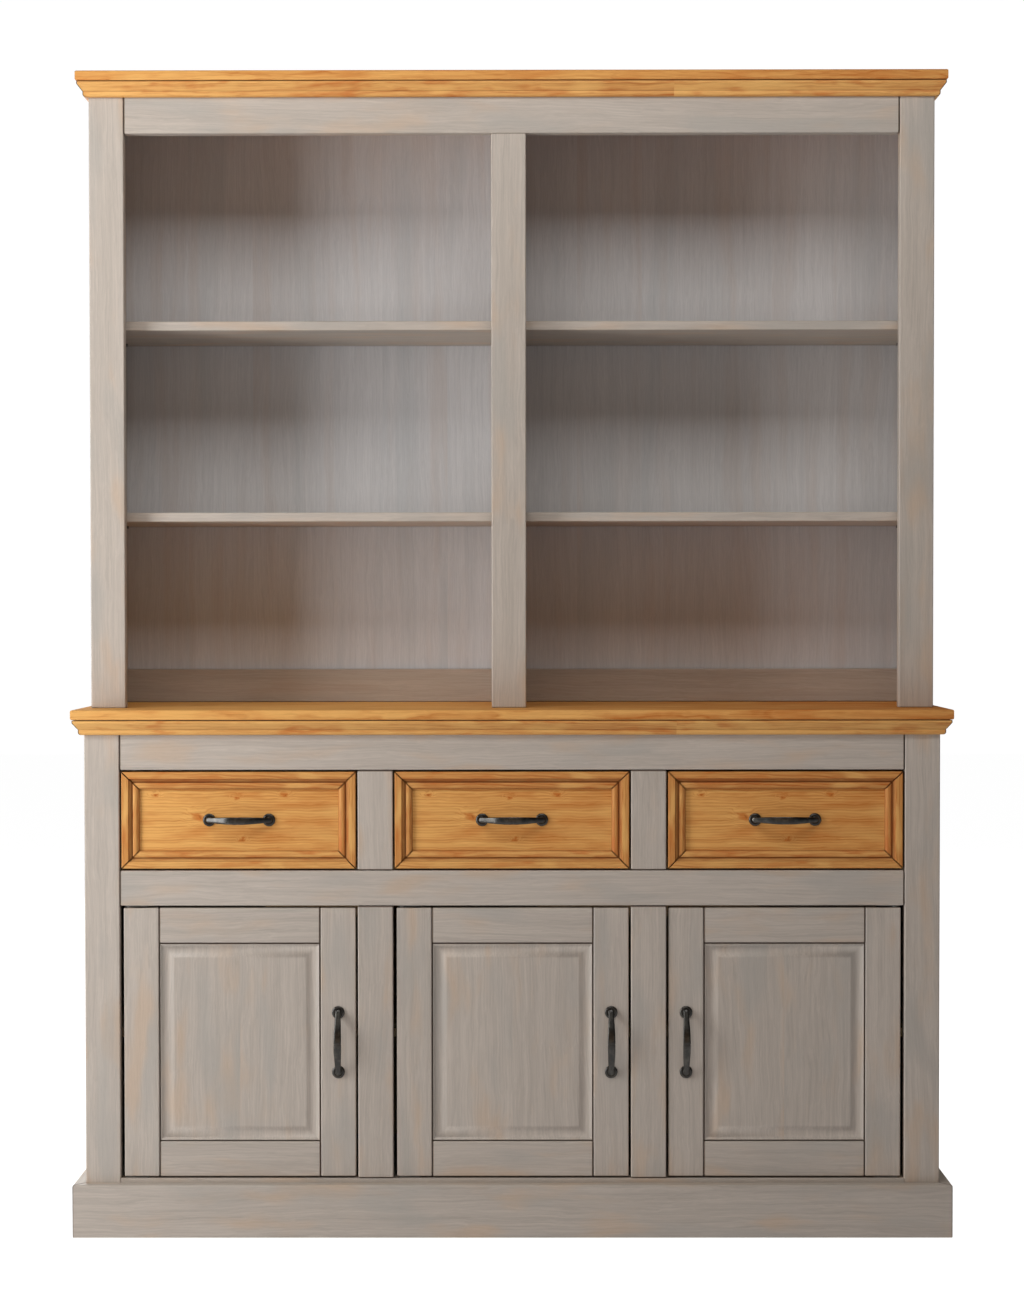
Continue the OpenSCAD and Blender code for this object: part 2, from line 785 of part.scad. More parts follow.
// One mitred length of that moulding along X, centred, growing up from z = 0
module trim_length(l) {
    half = l / 2 - glue_line / 2;
    intersection() {
        along_x(-l / 2, l / 2) rotate(90) trim_outline();
        along_y(-trim_t - past, past)
            polygon([[-half, 0], [half, 0], [half - trim_w, trim_w], [trim_w - half, trim_w]]);
    }
}

module drawer_trim(i) {
    color(honey_wood) translate([opening_mid(i), drawer_panel_y, drawer_mid_z])
        for (k = [0:3]) {
            across = k % 2 == 0 ? drawer_front_w : drawer_front_h;
            away = k % 2 == 0 ? drawer_front_h : drawer_front_w;
            rotate([0, 90 * k, 0]) translate([0, 0, -away / 2]) trim_length(across);
        }
}

// Sides and back of a drawer box
module drawer_box(i) {
    groove_z = box_z + box_bottom_z;
    bottom_top_z = groove_z + box_bottom_t;
    color(raw_wood) translate([opening_mid(i), 0, 0]) {
        both_sides() difference() {
            board_between([-box_w / 2, drawer_back_y, box_z],
                          [-box_w / 2 + box_t, box_rear_y, box_z + box_h], "y");
            panel_between([-box_w / 2 + box_t - box_groove, drawer_back_y - past, groove_z],
                          [-box_w / 2 + box_t + past, box_rear_y + past, bottom_top_z + fit]);
        }
        panel_between([-box_w / 2 + box_t + glue_line, box_rear_y - box_t, bottom_top_z],
                      [box_w / 2 - box_t - glue_line, box_rear_y, box_z + box_h - arris]);
    }
}

module drawer_bottom(i) {
    half_bottom = box_w / 2 - box_t + box_groove - fit;
    groove_z = box_z + box_bottom_z;
    color(raw_wood)
        panel_between([opening_mid(i) - half_bottom, drawer_back_y - box_groove + fit, groove_z],
                      [opening_mid(i) + half_bottom, box_rear_y, groove_z + box_bottom_t]);
}

module drawer_handle_place(i) {
    translate([opening_mid(i), drawer_panel_y, drawer_mid_z]) rotate([90, 0, 0]) children();
}

module drawer_handle(i) {
    drawer_handle_place(i) handle(drawer_front_t);
}

// Both ends of a handle, at a distance from its middle
module both_ends(x) {
    for (side = [-1, 1])
        translate([side * x, 0, 0]) children();
}

// Bow seen from the side: a band bent on an arc, with the board at z = 0
module bow_side() {
    intersection() {
        translate([0, handle_out - bow_t / 2 - bow_radius]) difference() {
            circle(bow_radius + bow_t / 2, $fn = 360);
            circle(bow_radius - bow_t / 2, $fn = 360);
        }
        translate([-foot_x, 0]) square([2 * foot_x, handle_out]);
    }
}

// Bow seen from the front: wider in the middle, with round ends
module bow_front() {
    intersection() {
        bow_edge(-1);
        bow_edge(1);
        square([2 * foot_x, bow_mid_w], center = true);
    }
    both_ends(foot_x) circle(bow_end_w / 2, $fn = 32);
}

module bow_edge(side) {
    translate([0, side * (bulge_radius - bow_mid_w / 2)]) circle(bulge_radius, $fn = 720);
}

// Cast handle: a bow on two rosettes, along X, standing on the board at z = 0, with its two screws
module handle(board_t) {
    color(black_iron) {
        difference() {
            union() {
                intersection() {
                    rotate([90, 0, 0]) linear_extrude(bow_mid_w, center = true) bow_side();
                    linear_extrude(handle_out) bow_front();
                }
                both_ends(foot_x) cylinder(h = foot_h, r = bow_end_w / 2, $fn = 32);
                both_ends(handle_spacing / 2) rosette();
            }
            both_ends(handle_spacing / 2) translate([0, 0, -past])
                cylinder(h = past + screw_grip + blind, r = handle_screw_d / 2 + bore_fit, $fn = 24);
        }
        both_ends(handle_spacing / 2) translate([0, 0, -board_t]) {
            cylinder(h = board_t + screw_grip, r = handle_screw_d / 2, $fn = 24);
            translate([0, 0, -handle_head_h]) cylinder(h = handle_head_h, r = handle_head_d / 2, $fn = 32);
        }
    }
}

module rosette() {
    cylinder(h = rosette_t / 2, r = rosette_d / 2, $fn = 48);
    translate([0, 0, rosette_t / 2])
        cylinder(h = rosette_t / 2, r1 = rosette_d / 2, r2 = rosette_d / 2 - rosette_bevel, $fn = 48);
}

module handle_board_holes(board_t) {
    both_ends(handle_spacing / 2) translate([0, 0, -board_t - past])
        cylinder(h = board_t + 2 * past, r = handle_screw_d / 2 + handle_bore_fit, $fn = 24);
}

// Frame of a door: two stiles with two rails tenoned between them
module door_frame(i) {
    color(grey_wood) difference() {
        translate([door_x(i), 0, door_z]) {
            door_stile(0, 1);
            door_stile(door_w, -1);
            door_rail(0, 1);
            door_rail(door_h, -1);
        }
        door_handle_place(i) handle_board_holes(door_t);
        for (upper = [false, true]) door_pivot_place(i, upper) plate_pocket();
        catch_place(i, door_back_y - strike_t)
            cylinder(h = strike_t + past, r = magnet_d / 2 + bore_fit, $fn = 32);
    }
}

// Stile from its outer edge. side points from that edge into the door
module door_stile(edge_x, side) {
    inner_x = edge_x + side * stile_w;
    groove_x = inner_x - side * door_groove;
    past_x = inner_x + side * past;
    difference() {
        board_between([min(edge_x, inner_x), door_y, 0], [max(edge_x, inner_x), door_back_y, door_h], "z");
        panel_between([min(groove_x, past_x), tongue_front_y, -past],
                      [max(groove_x, past_x), panel_back_y + fit, door_h + past]);
    }
}

// Rail from its outer edge, with its tenons in the grooves of the stiles
module door_rail(edge_z, side) {
    inner_z = edge_z + side * stile_w;
    groove_z = inner_z - side * door_groove;
    past_z = inner_z + side * past;
    shoulder = stile_w + glue_line;
    tenon_x = stile_w - door_groove + fit;
    difference() {
        union() {
            board_between([shoulder, door_y, min(edge_z, inner_z)],
                          [door_w - shoulder, door_back_y, max(edge_z, inner_z)], "x");
            panel_between([tenon_x, tongue_front_y + glue_line, min(edge_z, inner_z)],
                          [door_w - tenon_x, panel_back_y, max(edge_z, inner_z)]);
        }
        panel_between([0, tongue_front_y, min(groove_z, past_z)],
                      [door_w, panel_back_y + fit, max(groove_z, past_z)]);
    }
}

// Raised panel of a door: a flat field within sloping borders that end in a tongue
module door_panel(i) {
    border_depth = tongue_y - field_y;
    in_groove = door_groove - panel_play;
    color(grey_wood) difference() {
        translate([door_x(i) + panel_edge, door_y + field_y, door_z + panel_edge])
            cube([panel_w, panel_back_y - door_y - field_y, panel_h]);
        translate([door_x(i) + door_w / 2, door_y + field_y, door_z + door_h / 2])
            for (k = [0:3]) {
                across = k % 2 == 0 ? panel_w : panel_h;
                away = k % 2 == 0 ? panel_h : panel_w;
                rotate([0, 90 * k, 0]) along_x(-across / 2 - past, across / 2 + past)
                    translate([0, -away / 2])
                        polygon([[-past, -past], [border_depth, -past], [border_depth, in_groove],
                                 [field_step, in_groove + bevel_w], [-past, in_groove + bevel_w]]);
            }
    }
}

module door_handle_place(i) {
    translate([from_free_edge(i, stile_w / 2), door_y, door_mid_z]) rotate([90, 0, 0]) rotate([0, 0, 90])
        children();
}

module door_handle(i) {
    door_handle_place(i) handle(door_t);
}

// Places children at a door's pivot, on a plane at height z. They point up, or down where up is false,
// and their X runs from the axis towards the door's free edge
module pivot_place(i, z, up) {
    translate([pivot_x(i), pivot_y, z]) rotate([up ? 0 : 180, 0, 0])
        rotate([0, 0, hangs_right(i) ? 180 : 0]) children();
}

module lower_pivot(i) {
    pivot_place(i, floor_z, true) children();
}

module upper_pivot(i) {
    pivot_place(i, mid_rail_z, false) children();
}

// The door's own edge over or under the pivot, pointing out of the door
module door_pivot_place(i, upper) {
    pivot_place(i, upper ? door_top_z : door_z, upper) children();
}

module plate_blank(extra = 0, t = plate_t) {
    translate([-plate_back - extra, -plate_w / 2 - extra, 0])
        cube([plate_l + 2 * extra, plate_w + 2 * extra, t]);
}

// Countersunk screws of a pivot plate that lies on the wood at z = 0
module plate_screw_set(extra = 0, deeper = 0) {
    shank_l = plate_screw_l - plate_t + deeper;
    for (x = plate_screws) translate([x, 0, 0]) {
        cylinder(h = plate_t, r1 = plate_screw_d / 2 + extra, r2 = plate_head_d / 2 + extra, $fn = 24);
        translate([0, 0, -shank_l])
            cylinder(h = shank_l, r = plate_screw_d / 2 + extra, $fn = 24);
    }
}

module plate_screw_holes() {
    plate_screw_set(bore_fit, blind);
}

// Plate on the cabinet, with a collar that carries the door and the pivot pin
module frame_plate(gap) {
    difference() {
        union() {
            plate_blank();
            cylinder(h = gap - collar_gap, r = collar_d / 2, $fn = 32);
            cylinder(h = gap + sleeve_l - pin_short, r = pivot_d / 2, $fn = 32);
        }
        plate_screw_holes();
    }
}

module frame_pivots() {
    color(bright_steel) for (i = bays) {
        lower_pivot(i) frame_plate(door_low_gap);
        upper_pivot(i) frame_plate(door_top_gap);
    }
}

module pivot_screws() {
    color(bright_steel) for (i = bays) {
        lower_pivot(i) plate_screw_set();
        upper_pivot(i) plate_screw_set();
    }
}

// Plate let flush into the door's edge, with the sleeve that turns on the pin
module door_plate() {
    difference() {
        union() {
            translate([0, 0, -plate_t]) plate_blank();
            translate([0, 0, -sleeve_l]) cylinder(h = sleeve_l, r = sleeve_d / 2, $fn = 32);
        }
        translate([0, 0, -sleeve_l - past])
            cylinder(h = sleeve_l + 2 * past, r = pivot_d / 2 + pivot_clearance, $fn = 32);
        translate([0, 0, -plate_t]) plate_screw_holes();
    }
}

// Room for that plate, its sleeve and its screws in the door's edge
module plate_pocket() {
    translate([0, 0, -plate_t]) {
        plate_blank(bore_fit, plate_t + past);
        plate_screw_holes();
    }
    translate([0, 0, -sleeve_l - blind])
        cylinder(h = sleeve_l + blind, r = sleeve_d / 2 + bore_fit, $fn = 32);
}

module door_fittings(i) {
    color(bright_steel) {
        for (upper = [false, true]) door_pivot_place(i, upper) {
            door_plate();
            translate([0, 0, -plate_t]) plate_screw_set();
        }
        catch_place(i, door_back_y - strike_t) cylinder(h = strike_t, r = magnet_d / 2, $fn = 32);
    }
}

base_sides();
base_posts();
base_top_rail();
base_mid_rail();
drawer_muntins();
door_muntins();
bottom_board();
base_partitions();
base_back();
drawer_runners();
drawer_guides();
drawer_kickers();
door_stops();
catch_magnets();
cupboard_shelves();
shelf_pins();
plinth_front();
plinth_sides();
plinth_back();
counter_top();
counter_moulding();
hutch_sides();
hutch_posts();
hutch_top_rail();
hutch_divider();
hutch_back();
hutch_back_rails();
hutch_shelves();
cornice_top();
cornice_moulding();
hutch_dowels();
frame_pivots();
pivot_screws();
drawer_front(LEFT);  // drawer_left_front
drawer_trim(LEFT);  // drawer_left_trim
drawer_box(LEFT);  // drawer_left_box
drawer_bottom(LEFT);  // drawer_left_bottom
drawer_handle(LEFT);  // drawer_left_handle
drawer_front(CENTRE);  // drawer_centre_front
drawer_trim(CENTRE);  // drawer_centre_trim
drawer_box(CENTRE);  // drawer_centre_box
drawer_bottom(CENTRE);  // drawer_centre_bottom
drawer_handle(CENTRE);  // drawer_centre_handle
drawer_front(RIGHT);  // drawer_right_front
drawer_trim(RIGHT);  // drawer_right_trim
drawer_box(RIGHT);  // drawer_right_box
drawer_bottom(RIGHT);  // drawer_right_bottom
drawer_handle(RIGHT);  // drawer_right_handle
door_frame(LEFT);  // door_left_frame
door_panel(LEFT);  // door_left_panel
door_handle(LEFT);  // door_left_handle
door_fittings(LEFT);  // door_left_fittings
door_frame(CENTRE);  // door_centre_frame
door_panel(CENTRE);  // door_centre_panel
door_handle(CENTRE);  // door_centre_handle
door_fittings(CENTRE);  // door_centre_fittings
door_frame(RIGHT);  // door_right_frame
door_panel(RIGHT);  // door_right_panel
door_handle(RIGHT);  // door_right_handle
door_fittings(RIGHT);  // door_right_fittings
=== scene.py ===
"""Looks of the buffet: boards with eased edges and a grain of their own, mitred mouldings, iron handles."""
import math
import random

import bmesh
import bpy
from mathutils import Euler, Matrix, Vector


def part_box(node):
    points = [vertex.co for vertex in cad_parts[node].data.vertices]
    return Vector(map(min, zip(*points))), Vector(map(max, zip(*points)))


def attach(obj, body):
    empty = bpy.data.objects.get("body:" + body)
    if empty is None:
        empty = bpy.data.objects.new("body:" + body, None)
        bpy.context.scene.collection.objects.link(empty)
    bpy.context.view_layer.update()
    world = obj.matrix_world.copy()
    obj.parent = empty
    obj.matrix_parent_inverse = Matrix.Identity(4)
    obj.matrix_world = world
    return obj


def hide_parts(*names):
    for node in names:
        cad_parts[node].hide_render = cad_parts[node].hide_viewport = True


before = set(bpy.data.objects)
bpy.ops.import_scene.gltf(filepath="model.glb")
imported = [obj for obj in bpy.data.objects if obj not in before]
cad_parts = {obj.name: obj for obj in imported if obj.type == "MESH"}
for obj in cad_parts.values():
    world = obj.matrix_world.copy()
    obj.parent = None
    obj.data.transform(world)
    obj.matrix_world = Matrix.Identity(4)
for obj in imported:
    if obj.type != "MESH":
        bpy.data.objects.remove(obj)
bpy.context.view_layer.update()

MM = 0.001
X, Y, Z = 0, 1, 2
SIDES = ("left", "centre", "right")

# Radius of the boards' eased edges: of most boards, of what the drawers run on, and of their boxes
ARRIS = 2.2 * MM
RUNNER_ARRIS = 0.8 * MM
BOX_ARRIS = 1 * MM
ARRIS_STEPS = 3
# Corners of a mesh closer than this are one corner
WELD = 0.01 * MM
# Faces that meet at less than this angle are joined into one flat face
FLAT_ANGLE = math.radians(0.5)
# Faces that meet at less than this angle are shaded as one curved face
SMOOTH_ANGLE = math.radians(40)
# Width of the boards that a wide panel is glued up from, and of those in the counter and the cornice
STAVE = 118 * MM
TOP_STAVE = 66 * MM
# Width that is asked for where a length is one board across
WHOLE_WIDTH = 1.0
# Hairline that a length leaves at the piece it butts or mitres against
HAIRLINE = 1.1 * MM
# How far in from such an end the wood is stained dark, and how much of an eased edge there
END_STAIN = 1.4 * MM
STAINED_SHARE = 0.6
# A face is an end of a length where its normal lies along the grain by more than this
END_FACING = 0.6
# How far a board's tone may be off the tone that is asked for, and off the middle where none is
TONE_PLAY = 0.08
FREE_TONE_PLAY = 0.5
# Where a board is sawn from the tree: how far aside of the middle and above it, and anywhere along it
SAWN_ASIDE = (50 * MM, 160 * MM)
SAWN_ABOVE = (20 * MM, 70 * MM)
SAWN_ALONG = (-40.0, 40.0)
# How many degrees its grain may lean
GRAIN_LEAN = 1.2

# Handles. Their outer sizes are those of the castings that they replace
HANDLE_OUT = 28 * MM
HANDLE_SPACING = 102 * MM
BOW_T = 5 * MM
BOW_TIP_T = 2.75 * MM
BOW_END_W = 9.4 * MM
BOW_MID_W = 13 * MM
# How much of its half length the bow takes to narrow to the width of its ends
NARROWING = 0.8
# Width that is left at the very tip, as a share
TIP_W_SHARE = 0.03
# How far the middle of its band rises over the edges, as a share, and how square the band is: 1 is round
BOW_CROWN = 0.2
BOW_SQUARENESS = 0.55
# The bow curves up to RAMP_X from its middle, and runs straight from there to its tips
RAMP_X = 28 * MM
RAMP_ANGLE = math.radians(27)
TIP_X = 56.6 * MM
# A narrow notch crosses the bow's front at its middle
NOTCH_DEPTH = 0.35 * MM
NOTCH_REACH = 0.8 * MM
SCREW_R = 2 * MM
SCREW_HEAD_R = 4 * MM
SCREW_HEAD_H = 2.5 * MM


# Corners, edges and faces

def box_of(points):
    """Lowest and highest corner of some points"""
    low = Vector(min(p[i] for p in points) for i in range(3))
    high = Vector(max(p[i] for p in points) for i in range(3))
    return low, high


def solids_of(node):
    """The separate solids of a CAD node, each as a bmesh of its own, from left to right and from below"""
    whole = bmesh.new()
    whole.from_mesh(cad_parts[node].data)
    bmesh.ops.remove_doubles(whole, verts=whole.verts, dist=WELD)
    whole.verts.index_update()
    whole.faces.index_update()
    left = set(whole.verts)
    solids = []
    while left:
        group = set()
        queue = [left.pop()]
        while queue:
            vert = queue.pop()
            group.add(vert)
            near = {edge.other_vert(vert) for edge in vert.link_edges} - group
            queue.extend(near & left)
            left -= near
        solids.append(copy_of(group))
    whole.free()

    def lowest_corner(bm):
        return [round(c, 4) for c in box_of([v.co for v in bm.verts])[0]]
    return sorted(solids, key=lowest_corner)


def copy_of(verts):
    """A new bmesh of these corners and the faces between them, in the same order, flat faces joined"""
    bm = bmesh.new()
    twin = {v: bm.verts.new(v.co) for v in sorted(verts, key=lambda v: v.index)}
    faces = {f for v in verts for f in v.link_faces}
    for face in sorted(faces, key=lambda f: f.index):
        bm.faces.new([twin[v] for v in face.verts])
    bmesh.ops.dissolve_limit(bm, angle_limit=FLAT_ANGLE, verts=bm.verts, edges=bm.edges)
    return bm


def boxes_of(node):
    """Lowest and highest corner of each solid in a CAD node"""
    return [box_of([v.co for v in bm.verts]) for bm in solids_of(node)]


def ring_loft(bm, rings):
    """Skins rings of corners that have the same count, and closes both ends. Gives back the new rings"""
    made = [[bm.verts.new(p) for p in ring] for ring in rings]
    for one, other in zip(made, made[1:]):
        for i in range(len(one)):
            j = (i + 1) % len(one)
            bm.faces.new((one[i], one[j], other[j], other[i]))
    bm.faces.new(made[0][::-1])
    bm.faces.new(made[-1])
    return made


# Grain

def grain_frame(low, high, along, rng):
    """Matrix to a board's own coordinates: X along the grain, Y and Z from the middle of the tree"""
    across = sorted((i for i in range(3) if i != along), key=lambda i: low[i] - high[i])
    rows = Matrix.Identity(4)
    for row, axis in enumerate((along, *across)):
        for column in range(3):
            rows[row][column] = 1.0 if column == axis else 0.0
    leans = [math.radians(rng.uniform(-GRAIN_LEAN, GRAIN_LEAN)) for turn in range(2)]
    lean = Euler((0, *leans)).to_matrix().to_4x4()
    place = rng.uniform(*SAWN_ALONG)
    aside = rng.choice((-1, 1)) * rng.uniform(*SAWN_ASIDE)
    above = rng.uniform(*SAWN_ABOVE)
    from_middle = Matrix.Translation(Vector((place, aside, above)))
    return from_middle @ lean @ rows @ Matrix.Translation(-(low + high) / 2)


class Piece:
    """A mesh put together from solids, each with its own grain, tone and knot"""

    # A place so far from the first knot that none shows
    NO_KNOT = Vector((9.0, 9.0, 1.0))

    def __init__(self, seed):
        self.rng = random.Random(seed)
        self.bm = self.with_layers(bmesh.new())

    def with_layers(self, bm):
        """Adds what the materials read at each corner, where it isn't there yet"""
        for name in ("grain", "knot"):
            if name not in bm.verts.layers.float_vector:
                bm.verts.layers.float_vector.new(name)
        # The stain marks dark joints, and paints shade in the hollows of the mouldings
        for name in ("tone", "worn", "stain"):
            if name not in bm.verts.layers.float:
                bm.verts.layers.float.new(name)
        return bm

    def join(self, bm):
        """Adds a finished solid to the piece"""
        mesh = bpy.data.meshes.new("solid")
        bm.to_mesh(mesh)
        bm.free()
        self.bm.from_mesh(mesh)
        bpy.data.meshes.remove(mesh)

    def dress(self, bm, verts, along, knot=None, tones=None):
        """Gives some corners of a solid the grain of one board, and a tone at each end, 0 deep to 1 pale"""
        low, high = box_of([v.co for v in verts])
        to_grain = grain_frame(low, high, along, self.rng)
        grain = bm.verts.layers.float_vector["grain"]
        knot_layer = bm.verts.layers.float_vector["knot"]
        tone = bm.verts.layers.float["tone"]
        first, last = tones or (0.5, 0.5)
        reach = TONE_PLAY if tones else FREE_TONE_PLAY
        play = self.rng.uniform(-reach, reach)
        knot_at = to_grain @ knot if knot else None
        for v in verts:
            v[grain] = to_grain @ v.co
            v[knot_layer] = v[grain] - knot_at if knot else self.NO_KNOT
            share = (v.co[along] - low[along]) / (high[along] - low[along])
            v[tone] = play + first + (last - first) * share

    def board(self, low, high, along, arris=ARRIS, butts=False):
        """A board with all its edges eased. One that butts others at its ends leaves a hairline there"""
        low, high = Vector(low), Vector(high)
        if butts:
            low[along] += HAIRLINE
            high[along] -= HAIRLINE
        bm = self.with_layers(bmesh.new())
        made = bmesh.ops.create_cube(bm, size=1)
        for v in made["verts"]:
            v.co = Vector(high[i] if v.co[i] > 0 else low[i] for i in range(3))
        bmesh.ops.bevel(bm, geom=list(bm.edges), offset=arris, segments=ARRIS_STEPS, profile=0.5,
                        affect="EDGES")
        worn = bm.verts.layers.float["worn"]
        stain = bm.verts.layers.float["stain"]
        for v in bm.verts:
            inset = [min(abs(v.co[i] - low[i]), abs(v.co[i] - high[i])) for i in range(3)]
            v[worn] = 0.0 if min(inset) < WELD else 1.0
            v[stain] = 1.0 if butts and inset[along] < STAINED_SHARE * arris else 0.0
        self.dress(bm, bm.verts, along)
        self.join(bm)

    def solid(self, bm, along, knot=None, tones=None, butts=False):
        """A solid of any shape. One that butts or mitres against others leaves a hairline at its ends"""
        self.with_layers(bm)
        if butts:
            self.draw_back_ends(bm, along)
        self.dress(bm, bm.verts, along, knot, tones)
        self.join(bm)

    def draw_back_ends(self, bm, along):
        """Draws the square or mitred ends back a little, and stains them"""
        bm.normal_update()
        ends = [f for f in bm.faces if abs(f.normal[along]) > END_FACING]
        planes = [(f.verts[0].co.copy(), f.normal.copy()) for f in ends]
        stain = bm.verts.layers.float["stain"]
        for place, normal in planes:
            bmesh.ops.bisect_plane(bm, geom=[*bm.verts, *bm.edges, *bm.faces], dist=WELD,
                                   plane_co=place - normal * END_STAIN, plane_no=normal)
            for v in bm.verts:
                if abs((v.co - place).dot(normal)) < WELD:
                    v.co[along] -= math.copysign(HAIRLINE, normal[along])
                    v[stain] = 1.0

    def glued(self, bm, along, across, width, ends=(), tones=None):
        """A panel glued up from boards that lie side by side, and end to end at the places in ends.
        The boards before and after each of these places may have tones of their own"""
        self.with_layers(bm)
        low, high = box_of([v.co for v in bm.verts])
        count = max(1, round((high[across] - low[across]) / width))
        seams = [low[across] + (high[across] - low[across]) * k / count for k in range(1, count)]
        for axis, places in ((across, seams), (along, ends)):
            normal = Vector(1.0 if i == axis else 0.0 for i in range(3))
            for place in places:
                bmesh.ops.bisect_plane(bm, geom=[*bm.verts, *bm.edges, *bm.faces], dist=WELD,
                                       plane_co=normal * place, plane_no=normal)

        def board_of(face):
            middle = face.calc_center_median()
            row = sum(middle[across] > place for place in seams)
            return row, sum(middle[along] > place for place in ends)

        borders = [e for e in bm.edges if len({board_of(f) for f in e.link_faces}) > 1]
        bmesh.ops.split_edges(bm, edges=borders)
        corners = {}
        for face in bm.faces:
            corners.setdefault(board_of(face), set()).update(face.verts)
        for row, length in sorted(corners):
            self.dress(bm, corners[row, length], along, tones=tones[length] if tones else None)
        self.join(bm)

    def finish(self, node, material, body):
        """Makes the object, which stands for the CAD node of the same name"""
        mesh = bpy.data.meshes.new(node)
        normals = soft_normals(self.bm)
        self.bm.to_mesh(mesh)
        self.bm.free()
        for polygon in mesh.polygons:
            polygon.use_smooth = True
        mesh.normals_split_custom_set(normals)
        mesh.materials.append(material)
        made = bpy.data.objects.new(node, mesh)
        bpy.context.scene.collection.objects.link(made)
        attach(made, body)
        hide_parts(node)


def soft_normals(bm):
    """Normals at the faces' corners: smooth over eased edges and curves, while wide faces stay flat"""
    bm.normal_update()
    limit = math.cos(SMOOTH_ANGLE)
    weighted = {f: f.normal * f.calc_area() for f in bm.faces}
    normals = []
    for face in bm.faces:
        for loop in face.loops:
            near = (weighted[f] for f in loop.vert.link_faces if f.normal.dot(face.normal) > limit)
            normals.append(sum(near, Vector()).normalized())
    return normals


# Shader nodes

class Shader:
    """A material's node tree, with short calls for the nodes that the materials share"""

    def __init__(self, name):
        self.material = bpy.data.materials.new(name)
        self.material.use_nodes = True
        self.tree = self.material.node_tree
        self.surface = self.tree.nodes["Principled BSDF"]

    def feed(self, socket, value):
        """Links a socket to another one, or gives it a constant"""
        if isinstance(value, bpy.types.NodeSocket):
            self.tree.links.new(value, socket)
        else:
            socket.default_value = value

    def node(self, kind, inputs=(), **settings):
        made = self.tree.nodes.new(kind)
        for key, value in settings.items():
            setattr(made, key, value)
        for key, value in dict(inputs).items():
            self.feed(made.inputs[key], value)
        return made

    def attribute(self, name, output="Vector"):
        return self.node("ShaderNodeAttribute", attribute_name=name).outputs[output]

    def vector(self, operation, a, b=None, output="Vector"):
        inputs = {0: a} if b is None else {0: a, 1: b}
        return self.node("ShaderNodeVectorMath", inputs, operation=operation).outputs[output]

    def value(self, operation, a, b=0.0, clamp=False):
        return self.node("ShaderNodeMath", {0: a, 1: b}, operation=operation, use_clamp=clamp).outputs[0]

    def noise(self, place, waves, detail=2.0, roughness=0.5, output="Fac"):
        """Noise with so many waves to the metre along each axis"""
        stretched = self.vector("MULTIPLY", place, waves)
        inputs = {"Vector": stretched, "Scale": 1.0, "Detail": detail, "Roughness": roughness}
        return self.node("ShaderNodeTexNoise", inputs).outputs[output]

    def sway(self, place, waves, reach):
        """A way to and fro from each point, over so many metres along each axis"""
        noise = self.noise(place, waves, output="Color")
        return self.vector("MULTIPLY", self.vector("SUBTRACT", noise, (0.5, 0.5, 0.5)), reach)

    def spread(self, factor, low, high):
        """Widens a narrow range of a factor to 0 to 1"""
        inputs = {"Value": factor, "From Min": low, "From Max": high}
        return self.node("ShaderNodeMapRange", inputs, interpolation_type="SMOOTHSTEP").outputs["Result"]

    def range(self, factor, from_low, from_high, to_low, to_high):
        inputs = {"Value": factor, "From Min": from_low, "From Max": from_high,
                  "To Min": to_low, "To Max": to_high}
        return self.node("ShaderNodeMapRange", inputs).outputs["Result"]

    def grey(self, shade):
        return self.node("ShaderNodeCombineColor", {i: shade for i in range(3)}).outputs[0]

    def mix(self, factor, a, b, blend="MIX"):
        made = self.node("ShaderNodeMix", data_type="RGBA", blend_type=blend, clamp_factor=True)
        for place, value in ((0, factor), (6, a), (7, b)):
            self.feed(made.inputs[place], value)
        return made.outputs[2]

    def ramp(self, factor, *stops):
        made = self.node("ShaderNodeValToRGB", {"Fac": factor})
        for place, shade in stops[1:-1]:
            made.color_ramp.elements.new(place)
        for element, (place, shade) in zip(made.color_ramp.elements, stops):
            element.position = place
            element.color = (shade, shade, shade, 1.0)
        return made.outputs["Color"]

    def bump(self, height, distance, strength=1.0):
        inputs = {"Height": height, "Distance": distance, "Strength": strength}
        return self.node("ShaderNodeBump", inputs).outputs["Normal"]

    def set(self, **inputs):
        """Sets the surface's own sockets, or links them"""
        for key, value in inputs.items():
            self.feed(self.surface.inputs[key.replace("_", " ")], value)
        return self.material


def rgb(r, g, b):
    """A colour given in the 0 to 255 steps of a screen"""
    def linear(c):
        c /= 255
        return c / 12.92 if c <= 0.04045 else ((c + 0.055) / 1.055) ** 2.4
    return linear(r), linear(g), linear(b), 1.0


# Materials

RING_SPACING = 5 * MM
# Darkness across one ring, from its start to its end
RING_RAMP = ((0.0, 0.25), (0.3, 0.0), (0.62, 0.25), (0.86, 1.0), (1.0, 0.25))
# How far the rings wander off their circles, in long bends and in short ripples
BEND_REACH = 28 * MM
RIPPLE_REACH = 7 * MM
# Radii of the first knot's core and of its rim, and how far it draws the rings aside
KNOT_R = 4 * MM
KNOT_REACH = 16 * MM
KNOT_PULL = 13 * MM
# A knot is longer along the grain than across it, and its border wanders by so much
KNOT_LENGTH = 1.5
KNOT_RAG = (24 * MM, 12 * MM, 0.0)
# A board's knots: places along and across the grain from the first one, and sizes beside it
KNOTS = (
    (0 * MM, 0 * MM, 1.0),
    (-73 * MM, 36 * MM, 0.5),
    (63 * MM, 34 * MM, 0.45),
    (149 * MM, 40 * MM, 0.5),
    (77 * MM, -37 * MM, 0.45))
# How far round a point the faces beside it count when its openness is judged for the painted shade of
# crevices
CREVICE_SHADE_REACH = 5 * MM
# Waves to the metre along the grain and across it
BENDS = (2.6, 9, 9)
RIPPLES = (17, 40, 40)
RING_STRENGTH = (3, 150, 150)
WIDE_STREAKS = (2.6, 120, 120)
THIN_STREAKS = (9, 480, 480)
FIBRES = (25, 1100, 1100)
RAGGED_KNOTS = (60, 110, 110)
WORN_PLACES = (30, 60, 60)
